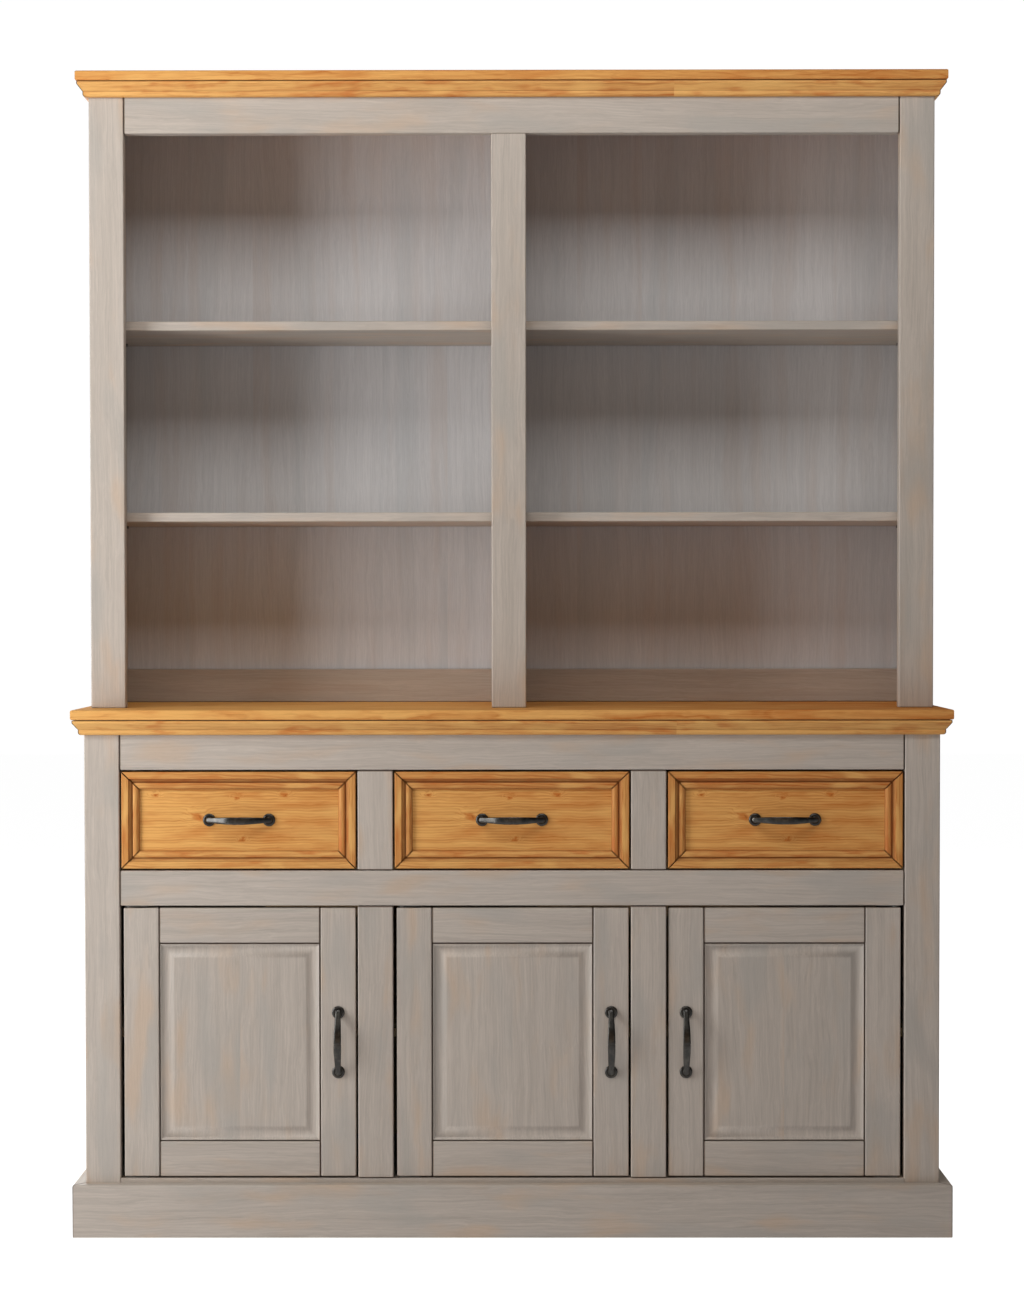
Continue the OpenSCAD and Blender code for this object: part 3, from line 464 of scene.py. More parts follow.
# Most values of a noise lie between these
COMMON = (0.3, 0.7)
# How much of its colour a knot's rim, a knot's core, a worn edge and the painted shade of crevices shows
RIM_SHARE = 0.8
CORE_SHARE = 0.3
WEAR_SHARE = 0.4
CREVICE_SHADE_SHARE = 0.85


def nearest_knot(s, grain):
    """Distance from the nearest knot, as if all knots were as large as the first and had ragged edges"""
    place = s.vector("ADD", s.attribute("knot"), s.sway(grain, RAGGED_KNOTS, KNOT_RAG))
    nearest = None
    for along, across, size in KNOTS:
        away = s.vector("SUBTRACT", place, (along, across, 0.0))
        flat = s.vector("MULTIPLY", away, (1.0 / size, KNOT_LENGTH / size, 0.0))
        distance = s.vector("LENGTH", flat, output="Value")
        nearest = s.value("MINIMUM", nearest, distance) if nearest else distance
    return nearest


def late_wood(s, bent, knot_distance):
    """Dark lines of the rings, stronger and weaker along the board, and drawn aside by its knots"""
    radius = s.vector("LENGTH", s.vector("MULTIPLY", bent, (0.0, 1.0, 1.0)), output="Value")
    near_knot = s.spread(knot_distance, KNOT_REACH * 2, 0.0)
    pulled = s.value("ADD", radius, s.value("MULTIPLY", near_knot, KNOT_PULL))
    line = s.ramp(s.value("FRACT", s.value("DIVIDE", pulled, RING_SPACING)), *RING_RAMP)
    strength = s.range(s.noise(bent, RING_STRENGTH), 0.35, 0.65, 0.35, 1.0)
    return s.value("MULTIPLY", line, strength)


def streaked(s, bent):
    """Wide and thin streaks along the grain"""
    wide = s.spread(s.noise(bent, WIDE_STREAKS), *COMMON)
    thin = s.spread(s.noise(bent, THIN_STREAKS), *COMMON)
    return s.value("MULTIPLY", s.value("ADD", wide, thin), 0.5)


def patched(s, bent, colour, warm, cool, patch, tint):
    """A colour with warmer and cooler patches in it, the cooler ones wider"""
    warmer = s.spread(s.noise(bent, patch), 0.5, 0.74)
    wider_patch = tuple(0.7 * waves for waves in patch)
    cooler = s.spread(s.noise(bent, wider_patch, detail=1.0), 0.48, 0.28)
    colour = s.mix(s.value("MULTIPLY", warmer, tint), colour, warm)
    return s.mix(s.value("MULTIPLY", cooler, tint), colour, cool)


def knotted(s, colour, knot_distance, warm, dark):
    """A colour with knots in it: a warm rim round a darker core"""
    rim = s.spread(knot_distance, KNOT_REACH, KNOT_R)
    core = s.spread(knot_distance, KNOT_R, KNOT_R * 0.5)
    colour = s.mix(s.value("MULTIPLY", rim, RIM_SHARE), colour, warm)
    return s.mix(s.value("MULTIPLY", core, CORE_SHARE), colour, dark)


def painted_crevice_shade(s):
    """How much a point is darkened: painted shade where the faces beside it shut it in, and its stain,
    which marks dark joints and painted shade in hollows
    """
    openness = s.node("ShaderNodeAmbientOcclusion", {"Distance": CREVICE_SHADE_REACH}, samples=4).outputs["AO"]
    shade_between_faces = s.value("MULTIPLY", s.spread(openness, 0.8, 0.3), 0.4)
    return s.value("MAXIMUM", shade_between_faces, s.attribute("stain", "Fac"))


def wood(name, pale, deep, warm, cool, dark, rings, streaks, patch, tint, tone_reach, roughness, sheen=0.5):
    """Sawn pine: rings, streaks and fibres along the grain, patches, knots, worn and stained edges, and
    painted shade in crevices
    """
    s = Shader(name)
    grain = s.attribute("grain")
    knot_distance = nearest_knot(s, grain)
    bent = s.vector("ADD", grain, s.sway(grain, BENDS, (0.0, BEND_REACH, BEND_REACH)))
    bent = s.vector("ADD", bent, s.sway(grain, RIPPLES, (0.0, RIPPLE_REACH, RIPPLE_REACH)))
    lines = late_wood(s, bent, knot_distance)
    fibres = s.noise(bent, FIBRES, detail=3.0, roughness=0.6)

    striped = s.value("MULTIPLY", streaked(s, bent), streaks)
    figure = s.value("ADD", s.value("MULTIPLY", lines, rings), striped)
    depth = s.range(s.attribute("tone", "Fac"), 0.0, 1.0, tone_reach, -tone_reach)
    colour = s.mix(s.value("ADD", figure, depth, clamp=True), pale, deep)
    colour = patched(s, bent, colour, warm, cool, patch, tint)
    colour = s.mix(1.0, colour, s.grey(s.range(fibres, 0.25, 0.75, 0.93, 1.06)), "MULTIPLY")
    colour = knotted(s, colour, knot_distance, warm, dark)
    rubbed = s.spread(s.noise(grain, WORN_PLACES), *COMMON)
    wear = s.value("MULTIPLY", s.attribute("worn", "Fac"), rubbed)
    colour = s.mix(s.value("MULTIPLY", wear, WEAR_SHARE), colour, pale)
    # Painted shade: shut-in and stained places are darkened towards the dark colour
    crevice_shade = painted_crevice_shade(s)
    colour = s.mix(s.value("MULTIPLY", crevice_shade, CREVICE_SHADE_SHARE), colour, dark)

    relief = s.value("ADD", s.value("MULTIPLY", fibres, 0.6), s.value("MULTIPLY", lines, 0.4))
    planed = s.range(relief, 0.0, 1.0, roughness - 0.08, roughness + 0.1)
    rough = s.value("ADD", planed, s.value("MULTIPLY", crevice_shade, 0.4), clamp=True)
    return s.set(Base_Color=colour, Roughness=rough, Specular_IOR_Level=sheen,
                 Normal=s.bump(relief, 0.12 * MM, 0.6))


def grey_wood():
    """Pine under a translucent taupe stain"""
    return wood("grey_wood", pale=rgb(200, 187, 174), deep=rgb(174, 162, 150), warm=rgb(201, 172, 144),
                cool=rgb(174, 167, 158), dark=rgb(96, 76, 62), rings=0.25, streaks=0.7, patch=(7, 24, 24),
                tint=0.55, tone_reach=0.15, roughness=0.5)


def cool_grey_wood():
    """The same stain on the hutch's thin back boards, where it dried cooler and smoother"""
    return wood("cool_grey_wood", pale=rgb(215, 214, 215), deep=rgb(192, 192, 194), warm=rgb(201, 189, 183),
                cool=rgb(186, 191, 194), dark=rgb(84, 68, 56), rings=0.15, streaks=0.6, patch=(2, 26, 26),
                tint=0.35, tone_reach=0.08, roughness=0.5)


def brown_grey_wood():
    """The same stain, darker and browner, on the hutch's back rails"""
    return wood("brown_grey_wood", pale=rgb(184, 170, 156), deep=rgb(158, 143, 129),
                warm=rgb(174, 151, 130), cool=rgb(160, 150, 140), dark=rgb(60, 45, 36), rings=0.2,
                streaks=0.6, patch=(4, 30, 30), tint=0.4, tone_reach=0.05, roughness=0.5)


def honey_wood():
    """Pine with a honey-coloured satin lacquer"""
    return wood("honey_wood", pale=rgb(234, 177, 103), deep=rgb(176, 88, 26), warm=rgb(196, 106, 42),
                cool=rgb(240, 186, 110), dark=rgb(92, 42, 14), rings=0.35, streaks=0.5, patch=(18, 65, 65),
                tint=0.6, tone_reach=0.3, roughness=0.5, sheen=0.2)


def plain_honey_wood():
    """The same wood under a duller coat, calmer, on the drawer fronts, the counter and the cornice"""
    return wood("plain_honey_wood", pale=rgb(237, 178, 103), deep=rgb(184, 92, 28), warm=rgb(198, 106, 42),
                cool=rgb(238, 186, 112), dark=rgb(92, 42, 14), rings=0.45, streaks=0.5, patch=(10, 40, 40),
                tint=0.4, tone_reach=0.3, roughness=0.8, sheen=0.04)


def raw_wood():
    """Planed pine without a finish"""
    return wood("raw_wood", pale=rgb(236, 214, 174), deep=rgb(206, 170, 120), warm=rgb(224, 184, 136),
                cool=rgb(238, 222, 190), dark=rgb(110, 74, 44), rings=0.5, streaks=0.3, patch=(3, 16, 16),
                tint=0.4, tone_reach=0.15, roughness=0.62)


def black_iron():
    """Black iron under a thin wax, rubbed a little brighter here and there"""
    s = Shader("black_iron")
    place = s.node("ShaderNodeTexCoord").outputs["Object"]
    cast = s.noise(place, (420, 420, 420), detail=3.0)
    rubbed = s.spread(s.noise(place, (110, 110, 110)), 0.4, 0.75)
    colour = s.mix(rubbed, rgb(50, 47, 43), rgb(74, 70, 63))
    rough = s.range(cast, 0.0, 1.0, 0.24, 0.4)
    return s.set(Base_Color=colour, Metallic=0.95, Roughness=rough, Normal=s.bump(cast, 0.1 * MM, 0.4),
                 Coat_Weight=0.6, Coat_Roughness=0.2)


def bright_steel():
    """Dull zinc-plated steel with a fine brushed surface"""
    s = Shader("bright_steel")
    place = s.node("ShaderNodeTexCoord").outputs["Object"]
    brushed = s.noise(place, (300, 300, 2600), detail=3.0)
    cloud = s.noise(place, (90, 90, 90))
    colour = s.mix(cloud, rgb(112, 110, 106), rgb(138, 136, 132))
    rough = s.range(brushed, 0.0, 1.0, 0.42, 0.6)
    return s.set(Base_Color=colour, Metallic=1.0, Roughness=rough, Normal=s.bump(brushed, 0.03 * MM, 0.5))


MATERIALS = {make_material.__name__: make_material() for make_material in (
    grey_wood, cool_grey_wood, brown_grey_wood, honey_wood, plain_honey_wood, raw_wood, black_iron,
    bright_steel)}


# Boards

def make(node, slot, body, build, seed=None, material=None):
    """Makes the piece that stands for one CAD node, with a function that fills it"""
    piece = Piece(seed or node)
    build(piece)
    piece.finish(node, MATERIALS[material or slot], body)


def boards(node, slot, along, arris=ARRIS, butts=False, material=None):
    """A CAD node of plain boards, rebuilt with all edges eased"""
    def build(piece):
        for low, high in boxes_of(node):
            piece.board(low, high, along, arris, butts)
    make(node, slot, "cabinet", build, material=material)


def as_modelled(node, slot, along=None, tones=None, butts=False):
    """A CAD node whose solids keep their shape, with the grain along the longest side unless it is given"""
    def build(piece):
        for bm in solids_of(node):
            low, high = box_of([v.co for v in bm.verts])
            longest = max(range(3), key=lambda i: high[i] - low[i]) if along is None else along
            piece.solid(bm, longest, tones=tones, butts=butts)
    make(node, slot, "cabinet", build)


def panels(node, slot, along, across, width=STAVE, body="cabinet", tones=None, material=None):
    """A CAD node of wide panels, each glued up from boards"""
    def build(piece):
        for bm in solids_of(node):
            piece.glued(bm, along, across, width, tones=tones)
    make(node, slot, body, build, material=material)


PLINTH_TONES = (0.0, 0.0)
# Tones of the counter's and the cornice's boards at their left and right ends
TOP_TONES = {"counter_top": ((1.2, 0.0),), "cornice_top": ((0.85, 0.4),)}
# Where the mouldings' front lengths are finger-jointed, and the tones at both ends of the two boards
FRONT_JOINT = 280 * MM
MOULDING_TONES = {
    "counter_moulding": ((1.1, 0.45), (0.95, 0.6)),
    "cornice_moulding": ((0.8, 0.4), (0.9, 0.6))}
# The same for the mouldings' left and right returns, from front to back
LEFT_RETURN_TONES = (0.9, 0.6)
RIGHT_RETURN_TONES = (0.65, 0.4)

for node in ("base_posts", "hutch_posts"):
    boards(node, "grey_wood", Z)
for node in ("drawer_muntins", "door_muntins"):
    boards(node, "grey_wood", Z, butts=True)
for node in ("base_top_rail", "base_mid_rail", "hutch_top_rail"):
    boards(node, "grey_wood", X, butts=True)
boards("hutch_shelves", "grey_wood", X)
boards("hutch_back_rails", "grey_wood", X, material="brown_grey_wood")
as_modelled("bottom_board", "grey_wood", X)
for node in ("plinth_front", "plinth_sides"):
    as_modelled(node, "grey_wood", tones=PLINTH_TONES, butts=True)
for node in ("base_sides", "hutch_sides", "hutch_divider"):
    panels(node, "grey_wood", Z, Y)
panels("hutch_back", "grey_wood", Z, X, material="cool_grey_wood")
for node, tones in TOP_TONES.items():
    panels(node, "honey_wood", X, Y, TOP_STAVE, tones=tones, material="plain_honey_wood")


def moulded_length(bm, profile, ends, along, across, start, inward, base, rising):
    """Skins one length of a moulding. Each end is a place, and a way to go from there per step inward"""
    rise = 3 - along - across
    rings = []
    for end, away in ends:
        ring = []
        for d, height, stain in profile:
            place = Vector()
            place[along] = end + away * d
            place[across] = start + inward * d
            place[rise] = base + rising * height
            ring.append(place)
        rings.append(ring)
    stain_and_shade_rings(bm, ring_loft(bm, rings), profile)
    bmesh.ops.recalc_face_normals(bm, faces=bm.faces)


def stain_and_shade_rings(bm, rings, profile):
    """Gives each corner of the rings the stain of its point in the profile: dark joints, and painted shade
    in hollows
    """
    layer = bm.verts.layers.float["stain"]
    for ring in rings:
        for v, (d, height, stain) in zip(ring, profile):
            v[layer] = stain


# Moulding under the counter and the cornice: distance out from the wall, height, and stain, which paints
# shade in the quirk and marks the dark joint under the board on top.
# A rounded foot, a quirk, a slope and an upright edge, with a hairline left under the board that lies on it
MOULDING = [(out * MM, height * MM, stain) for out, height, stain in (
    (0.0, 0.0, 0.0), (4.4, 0.0, 0.0), (6.4, 0.6, 0.0), (7.8, 1.9, 0.0), (8.6, 3.6, 0.0), (8.7, 5.0, 0.0),
    (8.7, 8.4, 0.0), (8.4, 8.9, 0.5), (9.1, 9.6, 0.2), (9.8, 10.3, 0.0), (17.2, 19.9, 0.0),
    (17.7, 20.7, 0.0), (17.8, 21.8, 0.0), (17.8, 23.5, 0.0), (17.8, 24.9, 1.0), (0.0, 24.9, 1.0))]


def moulding(node):
    """A mitred moulding on three sides, whose front length is finger-jointed from two boards"""
    solids = boxes_of(node)
    front = max(solids, key=lambda box: box[1].x - box[0].x)
    left, right = (box for box in solids if box is not front)
    left_x, right_x = left[1].x, right[0].x
    wall_y, back_y, base = front[1].y, left[1].y, front[0].z
    corners = (left_x, -1), (right_x, 1)
    returns = (left_x, -1, LEFT_RETURN_TONES), (right_x, 1, RIGHT_RETURN_TONES)

    def build(piece):
        bm = piece.with_layers(bmesh.new())
        moulded_length(bm, MOULDING, corners, X, Y, wall_y, -1, base, 1)
        piece.draw_back_ends(bm, X)
        piece.glued(bm, X, Z, WHOLE_WIDTH, (FRONT_JOINT,), MOULDING_TONES[node])
        for wall_x, outward, tones in returns:
            bm = piece.with_layers(bmesh.new())
            moulded_length(bm, MOULDING, ((wall_y, -1), (back_y, 0)), Y, X, wall_x, outward, base, 1)
            piece.solid(bm, Y, tones=tones, butts=True)
    make(node, "honey_wood", "cabinet", build)


for node in MOULDING_TONES:
    moulding(node)

panels("base_back", "raw_wood", Z, X)
panels("base_partitions", "raw_wood", Z, Y)
for node in ("drawer_runners", "drawer_guides", "drawer_kickers"):
    boards(node, "raw_wood", Y, RUNNER_ARRIS)
boards("plinth_back", "raw_wood", X)
boards("cupboard_shelves", "raw_wood", X)
as_modelled("door_stops", "raw_wood", X)
as_modelled("hutch_dowels", "raw_wood", Z)


# Front of a drawer's trim: distance from its outer edge, height over the drawer's board, and stain, which
# paints shade in the hollow and along the inner edge.
# A flat band, a steep hollow down from it, and a low bead along the inner edge
TRIM_FRONT = [(d * MM, height * MM, stain) for d, height, stain in (
    (0.0, 0.0, 0.0), (0.0, 8.6, 0.0), (0.4, 9.5, 0.0), (1.4, 10.0, 0.0), (10.6, 10.0, 0.0),
    (11.5, 9.7, 0.0), (11.9, 8.9, 0.1), (12.1, 7.4, 0.25), (12.9, 5.7, 0.3), (14.4, 4.5, 0.25),
    (16.2, 3.8, 0.45), (17.6, 3.5, 0.9), (18.4, 3.6, 1.0), (18.7, 4.4, 0.5), (19.5, 5.5, 0.0),
    (20.9, 6.3, 0.0), (22.8, 6.7, 0.0), (24.8, 6.5, 0.0), (26.8, 5.7, 0.0), (28.3, 4.5, 0.1),
    (29.4, 2.8, 0.3), (30.0, 0.8, 0.6), (30.0, 0.0, 0.6))]
# Where a drawer front's first knot is, from the middle of its face
FRONT_KNOT = Vector((-70 * MM, 0, 5 * MM))
# Tones of a drawer's front at its left and right ends
FRONT_TONES = (0.95, 0.4)
# Tones of the trim's bottom and top lengths, and of its left and right ones
LEVEL_TRIM_TONES = (0.5, 0.2)
UPRIGHT_TRIM_TONES = (0.35, 0.3)
# Painted light falloff: how much lower each drawer's tones are than those of the one to its left, standing
# in for the light that falls off to the right
PAINTED_FALLOFF_STEP = 0.08


def drawer(side):
    """One drawer's wood: moulded front, box and bottom"""
    body = f"drawer_{side}"
    front = f"{body}_front"
    trim = f"{body}_trim"
    # Painted light falloff: drawers further right get lower tones, as if less light reached them
    painted_falloff = PAINTED_FALLOFF_STEP * SIDES.index(side)

    def build_front(piece):
        low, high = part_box(front)
        face_middle = (low + high) / 2
        face_middle.y = low.y
        tones = [tone - painted_falloff for tone in FRONT_TONES]
        piece.solid(solids_of(front)[0], X, face_middle + FRONT_KNOT, tones)
    make(front, "honey_wood", body, build_front, seed="drawer_front", material="plain_honey_wood")

    def build_trim(piece):
        low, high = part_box(trim)
        for along, across, tones in ((X, Z, LEVEL_TRIM_TONES), (Z, X, UPRIGHT_TRIM_TONES)):
            ends = ((low[along], 1), (high[along], -1))
            for outer, inward, tone in ((low[across], 1, tones[0]), (high[across], -1, tones[1])):
                bm = piece.with_layers(bmesh.new())
                moulded_length(bm, TRIM_FRONT, ends, along, across, outer, inward, high.y, -1)
                piece.solid(bm, along, tones=(tone - painted_falloff, tone - painted_falloff), butts=True)
    make(trim, "honey_wood", body, build_trim, seed="drawer_trim")

    def build_box(piece):
        for low, high in boxes_of(f"{body}_box"):
            along = X if high.x - low.x > high.y - low.y else Y
            piece.board(low, high, along, BOX_ARRIS)
    make(f"{body}_box", "raw_wood", body, build_box)
    panels(f"{body}_bottom", "raw_wood", Y, X, body=body)


# Front of a door's panel: distance from the panel's edge, depth behind the rim, and stain.
# The tongue lies in the frame's groove, then a rim, and a shallow hollow that runs round the field
PANEL_FRONT = [(d * MM, depth * MM, stain) for d, depth, stain in (
    (0.0, 5.5, 0.0), (8.0, 5.5, 1.0), (9.1, 5.4, 1.0), (9.2, 0.6, 1.0), (9.5, 0.15, 0.3), (9.9, 0.0, 0.0),
    (10.5, 0.4, 0.0), (11.7, 1.2, 0.0), (13.6, 2.4, 0.0), (15.8, 3.5, 0.0), (18.2, 4.3, 0.0),
    (20.6, 4.6, 0.0), (22.6, 4.55, 0.0), (24.6, 4.2, 0.0), (26.6, 3.55, 0.0), (28.6, 2.7, 0.0),
    (30.4, 1.9, 0.0), (31.9, 1.4, 0.0), (33.2, 1.15, 0.0), (34.4, 1.1, 0.0))]


def raised_panel(bm, low, high):
    """Skins a panel with a hollow worked round its raised field"""
    rings = [[Vector((low.x, high.y, low.z)), Vector((high.x, high.y, low.z)),
              Vector((high.x, high.y, high.z)), Vector((low.x, high.y, high.z))]]
    for d, depth, stain in PANEL_FRONT:
        y = low.y + depth
        rings.append([Vector((low.x + d, y, low.z + d)), Vector((high.x - d, y, low.z + d)),
                      Vector((high.x - d, y, high.z - d)), Vector((low.x + d, y, high.z - d))])
    layer = bm.verts.layers.float["stain"]
    for ring, (d, depth, stain) in zip(ring_loft(bm, rings)[1:], PANEL_FRONT):
        for v in ring:
            v[layer] = stain
    bmesh.ops.recalc_face_normals(bm, faces=bm.faces)


def door(side):
    """One door's wood: framed and panelled"""
    body = f"door_{side}"
    frame_node = f"{body}_frame"
    whole_low, whole_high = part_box(frame_node)

    def build_frame(piece):
        solids = boxes_of(frame_node)
        stiles = [b for b in solids if b[1].z - b[0].z > b[1].x - b[0].x]
        rails = [b for b in solids if b not in stiles]
        for low, high in stiles:
            piece.board(low, high, Z)
        inner = [stiles[0][1].x, stiles[1][0].x]
        for low, high in rails:
            piece.board((inner[0], whole_low.y, low.z), (inner[1], whole_high.y, high.z), X, butts=True)
    make(frame_node, "grey_wood", body, build_frame)

    def build_panel(piece):
        bm = piece.with_layers(bmesh.new())
        raised_panel(bm, *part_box(f"{body}_panel"))
        piece.glued(bm, Z, X, STAVE)
    make(f"{body}_panel", "grey_wood", body, build_panel)


for side in SIDES:
    drawer(side)
    door(side)


# Handles

def lathe(bm, centre, profile, steps=48):
    """Turns a profile of (radius, height) about the Z axis through centre"""
    rings = []
    for r, z in profile:
        ring = []
        for i in range(steps):
            angle = math.tau * i / steps
            x = centre.x + r * math.cos(angle)
            y = centre.y + r * math.sin(angle)
            ring.append(Vector((x, y, centre.z + z)))
        rings.append(ring)
    ring_loft(bm, rings)


def bow_path(count=24):
    """Stations along the bow from tip to tip: place and direction in the XZ plane"""
    radius = RAMP_X / math.sin(RAMP_ANGLE)
    top = HANDLE_OUT - BOW_T / 2
    half = []
    for k in range(count + 1):
        angle = RAMP_ANGLE * k / count
        place = Vector((radius * math.sin(angle), 0, top - radius * (1 - math.cos(angle))))
        half.append((place, Vector((math.cos(angle), 0, -math.sin(angle)))))
    start, direction = half[-1]
    for k in range(1, count + 1):
        share = math.sin(k / count * math.pi / 2)
        half.append((start + direction * share * (TIP_X - RAMP_X) / direction.x, direction))
    mirrored = [(Vector((-p.x, 0, p.z)), Vector((d.x, 0, -d.z))) for p, d in half[:0:-1]]
    return mirrored + half


def squared(part):
    """Pushes the cosine or sine of an angle outwards, so that a circle becomes a band with soft edges"""
    return math.copysign(abs(part) ** BOW_SQUARENESS, part)


def bow_section(place, direction, steps=32):
    """Ring round the bow: a crowned band with soft edges, widest in the middle, with half-round tips"""
    outward = Vector((-direction.z, 0, direction.x))
    from_middle = abs(place.x)
    narrowed = min(1.0, from_middle / TIP_X / NARROWING)
    half_w = BOW_END_W / 2 + (BOW_MID_W - BOW_END_W) / 2 * math.cos(narrowed * math.pi / 2)
    to_tip = max(0.0, (TIP_X - from_middle) / (BOW_END_W / 2))
    round_off = math.sqrt(max(0.0, 1 - (1 - min(1.0, to_tip)) ** 2))
    half_w *= max(round_off, TIP_W_SHARE)
    half_t = (BOW_TIP_T + (BOW_T - BOW_TIP_T) * round_off) / 2
    notch = NOTCH_DEPTH * math.exp(-(place.x / NOTCH_REACH) ** 2)
    ring = []
    for i in range(steps):
        angle = math.tau * i / steps
        across = squared(math.cos(angle))
        out = squared(math.sin(angle))
        depth = out * half_t
        if out > 0:
            depth *= 1 - BOW_CROWN * across * across
            depth -= notch
        ring.append(place + Vector((0, across * (half_w - notch), 0)) + outward * depth)
    return ring


# Radius and height of a rosette, dished round the foot of the bow
ROSETTE_PROFILE = [(r * MM, z * MM) for r, z in (
    (10.9, 0.0), (10.9, 1.1), (10.75, 1.5), (10.2, 2.1), (9.2, 2.7), (8.3, 2.98), (7.6, 3.0),
    (6.9, 2.8), (6.1, 2.5), (5.4, 2.6), (4.9, 3.1), (4.6, 3.9))]
# Radius and height of a screw's rounded head, from the recess in its middle to its rim
SCREW_HEAD_PROFILE = [
    (0.9 * MM, 1.2 * MM), (1.2 * MM, 0.0), (0.62 * SCREW_HEAD_R, 0.1 * MM),
    (0.9 * SCREW_HEAD_R, 0.7 * MM), (SCREW_HEAD_R, 1.5 * MM), (SCREW_HEAD_R, SCREW_HEAD_H)]


def handle(name, body):
    """A bow on two rosettes, with its screws, in the place of the CAD handle"""
    low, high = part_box(name)
    middle = (low + high) / 2
    upright = high.z - low.z > high.x - low.x
    board_t = high.y - low.y - HANDLE_OUT - SCREW_HEAD_H
    upwards = Euler((0, 0, math.pi / 2 if upright else 0)).to_matrix()
    outwards = Euler((math.pi / 2, 0, 0)).to_matrix()
    on_board = Matrix.Translation(Vector((middle.x, low.y + HANDLE_OUT, middle.z)))

    bm = bmesh.new()
    ring_loft(bm, [bow_section(*station) for station in bow_path()])
    head_z = -board_t - SCREW_HEAD_H
    shank = [(SCREW_R, SCREW_HEAD_H), (SCREW_R, SCREW_HEAD_H + board_t)]
    for x in (-HANDLE_SPACING / 2, HANDLE_SPACING / 2):
        lathe(bm, Vector((x, 0, 0)), ROSETTE_PROFILE)
        lathe(bm, Vector((x, 0, head_z)), SCREW_HEAD_PROFILE + shank, steps=24)
    bm.transform(on_board @ (outwards @ upwards).to_4x4())
    bmesh.ops.recalc_face_normals(bm, faces=bm.faces)
    make(name, "black_iron", body, lambda piece: piece.solid(bm, Z if upright else X))


for side in SIDES:
    for body in (f"drawer_{side}", f"door_{side}"):
        handle(f"{body}_handle", body)

# Hinges, screws, magnets and shelf pins keep their CAD shape
for name in ("frame_pivots", "pivot_screws", "catch_magnets", "shelf_pins",
             *(f"door_{side}_fittings" for side in SIDES)):
    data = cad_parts[name].data
    data.materials.clear()
    data.materials.append(MATERIALS["bright_steel"])


# Floor, light and camera

FLOOR_REACH = 14.0
# Light that the floor throws up on the buffet, what the camera sees of it, and how much of that is mirrored
FLOOR_GLOW = (0.113, 0.133, 0.165, 1.0)
FLOOR_SEEN = (0.98, 0.98, 0.98, 1.0)
FLOOR_MIRRORED = 0.3
# Strength of the light from all round, and of what shiny pieces mirror of it
ROOM_LIGHT = 0.01
ROOM_MIRRORED = 0.06
# Width of the camera's sensor in millimetres
SENSOR_W = 36
# The camera's focal length and image height in pixels, and how far the image is shifted up
FOCAL_PX = 2478
IMAGE_HEIGHT = 1308
SHIFT_PX = 10
# The camera's place: from the middle, from the counter's front edge, and over the floor
CAMERA_X = 14 * MM
CAMERA_AWAY = 4.2
CAMERA_Z = 1.0696
# How the camera is turned, in radians
PITCH = math.radians(-1.25)
YAW = 0.0032
ROLL = 0.001


def pale_floor():
    """A wide floor, so pale that the camera sees it as white as the background"""
    mesh = bpy.data.meshes.new("floor")
    corners = [(x * FLOOR_REACH, y * FLOOR_REACH, 0) for x, y in ((-1, -1), (1, -1), (1, 1), (-1, 1))]
    mesh.from_pydata(corners, [], [(0, 1, 2, 3)])
    s = Shader("floor")
    rays = s.node("ShaderNodeLightPath").outputs
    mirrored = s.value("MULTIPLY", rays["Is Glossy Ray"], FLOOR_MIRRORED)
    glow = s.mix(s.value("ADD", rays["Is Camera Ray"], mirrored), FLOOR_GLOW, FLOOR_SEEN)
    mesh.materials.append(s.set(Base_Color=(0.8, 0.8, 0.8, 1.0), Roughness=0.9, Specular_IOR_Level=0.1,
                                Emission_Color=glow, Emission_Strength=1.0))
    floor = bpy.data.objects.new("floor", mesh)
    bpy.context.scene.collection.objects.link(floor)


def softbox(name, place, aim, width, height, power, colour):
    """An area light at a place in the studio, turned towards a point of the buffet"""
    light = bpy.data.lights.new(name, "AREA")
    light.shape = "RECTANGLE"
    light.size = width
    light.size_y = height
    light.energy = power
    light.color = colour
    made = bpy.data.objects.new(name, light)
    made.location = place
    made.rotation_euler = (Vector(place) - Vector(aim)).to_track_quat("Z", "Y").to_euler()
    made.visible_camera = False
    bpy.context.scene.collection.objects.link(made)


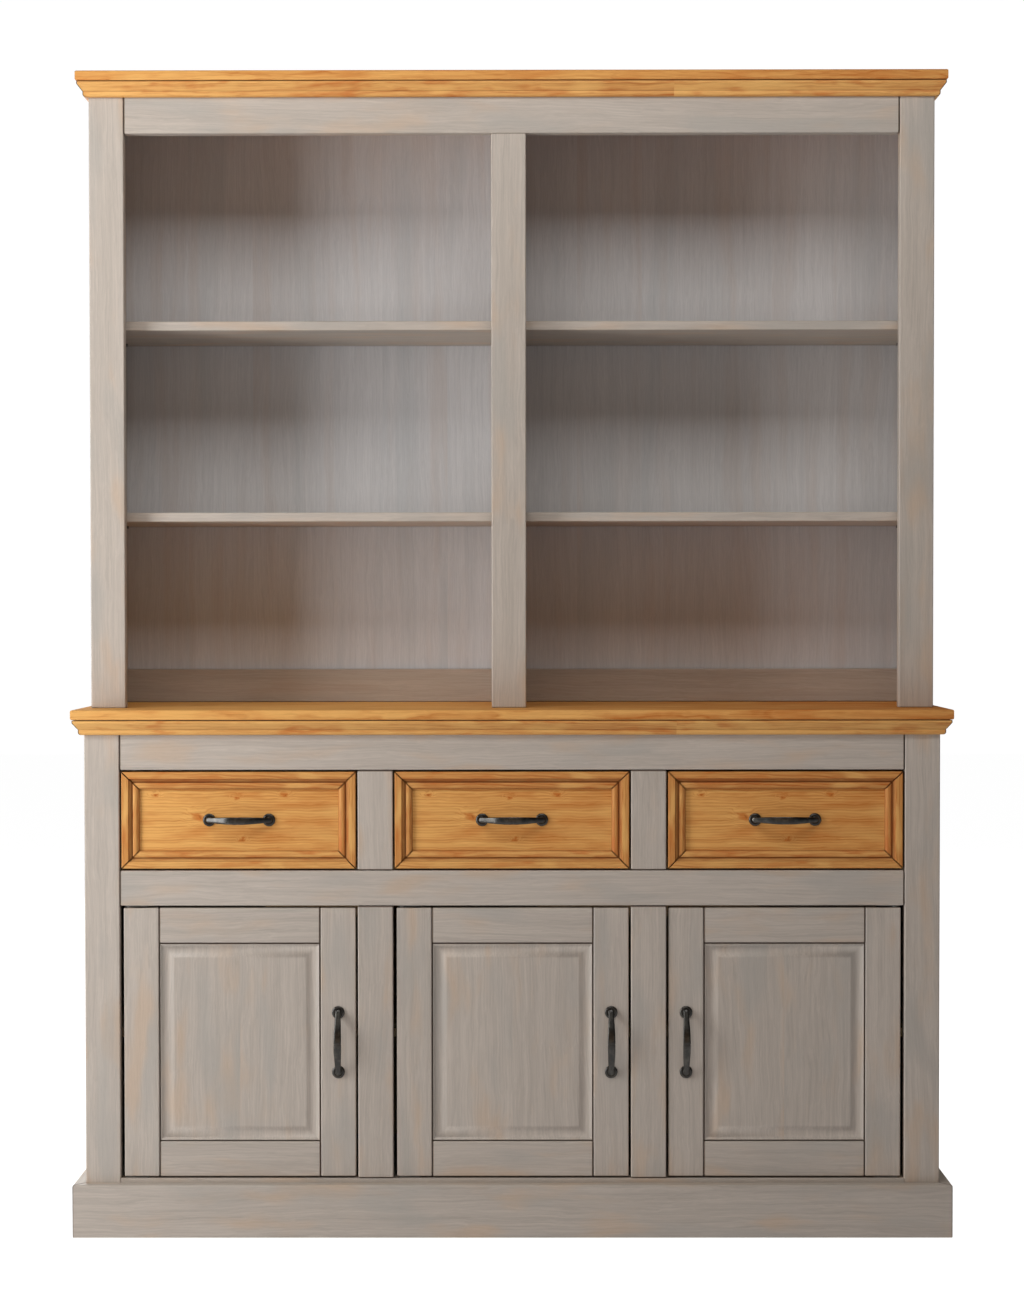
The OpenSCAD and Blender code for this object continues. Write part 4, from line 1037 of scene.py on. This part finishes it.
def white_world():
    """White behind the buffet, and a weaker even light from all round"""
    world = bpy.data.worlds.new("studio")
    bpy.context.scene.world = world
    world.use_nodes = True
    tree = world.node_tree
    background = tree.nodes["Background"]
    background.inputs["Color"].default_value = (1.0, 1.0, 1.0, 1.0)
    rays = tree.nodes.new("ShaderNodeLightPath").outputs
    reflected = tree.nodes.new("ShaderNodeMapRange")
    tree.links.new(rays["Is Glossy Ray"], reflected.inputs["Value"])
    reflected.inputs["To Min"].default_value = ROOM_LIGHT
    reflected.inputs["To Max"].default_value = ROOM_MIRRORED
    strength = tree.nodes.new("ShaderNodeMath")
    strength.operation = "ADD"
    tree.links.new(rays["Is Camera Ray"], strength.inputs[0])
    tree.links.new(reflected.outputs["Result"], strength.inputs[1])
    tree.links.new(strength.outputs[0], background.inputs["Strength"])


def photo_camera():
    """A camera where the photograph was taken from"""
    camera = bpy.data.cameras.new("camera")
    camera.sensor_width = SENSOR_W
    camera.lens = FOCAL_PX / IMAGE_HEIGHT * SENSOR_W
    camera.shift_y = SHIFT_PX / IMAGE_HEIGHT
    made = bpy.data.objects.new("camera", camera)
    front_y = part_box("counter_top")[0].y
    made.location = (CAMERA_X, front_y - CAMERA_AWAY, CAMERA_Z)
    made.rotation_euler = Euler((math.pi / 2 + PITCH, ROLL, YAW))
    bpy.context.scene.collection.objects.link(made)
    bpy.context.scene.camera = made


pale_floor()
white_world()
softbox("key", place=(-2.15, -1.18, 1.2), aim=(0, -0.1, 1.1),
        width=0.8, height=2.0, power=41.5, colour=(0.97, 1.0, 1.03))
softbox("overhead", place=(-0.1, -1.6, 2.7), aim=(-0.1, 0.1, 1.4),
        width=2.6, height=0.7, power=21, colour=(0.99, 1.0, 1.0))
softbox("front_fill", place=(0, -4.5, 1.1), aim=(0, 0, 1.0),
        width=4.5, height=3.0, power=13.5, colour=(1.0, 0.66, 0.4))
softbox("side_fill", place=(3.6, 2.2, 1.7), aim=(0.7, 0.1, 0.9),
        width=2.0, height=2.4, power=30, colour=(1.0, 0.98, 0.95))
softbox("back_fill", place=(-2.0, 4.2, 1.9), aim=(0, 0.2, 0.9),
        width=2.4, height=2.4, power=70, colour=(1.0, 0.98, 0.95))
photo_camera()
bpy.context.scene.view_settings.view_transform = "Standard"
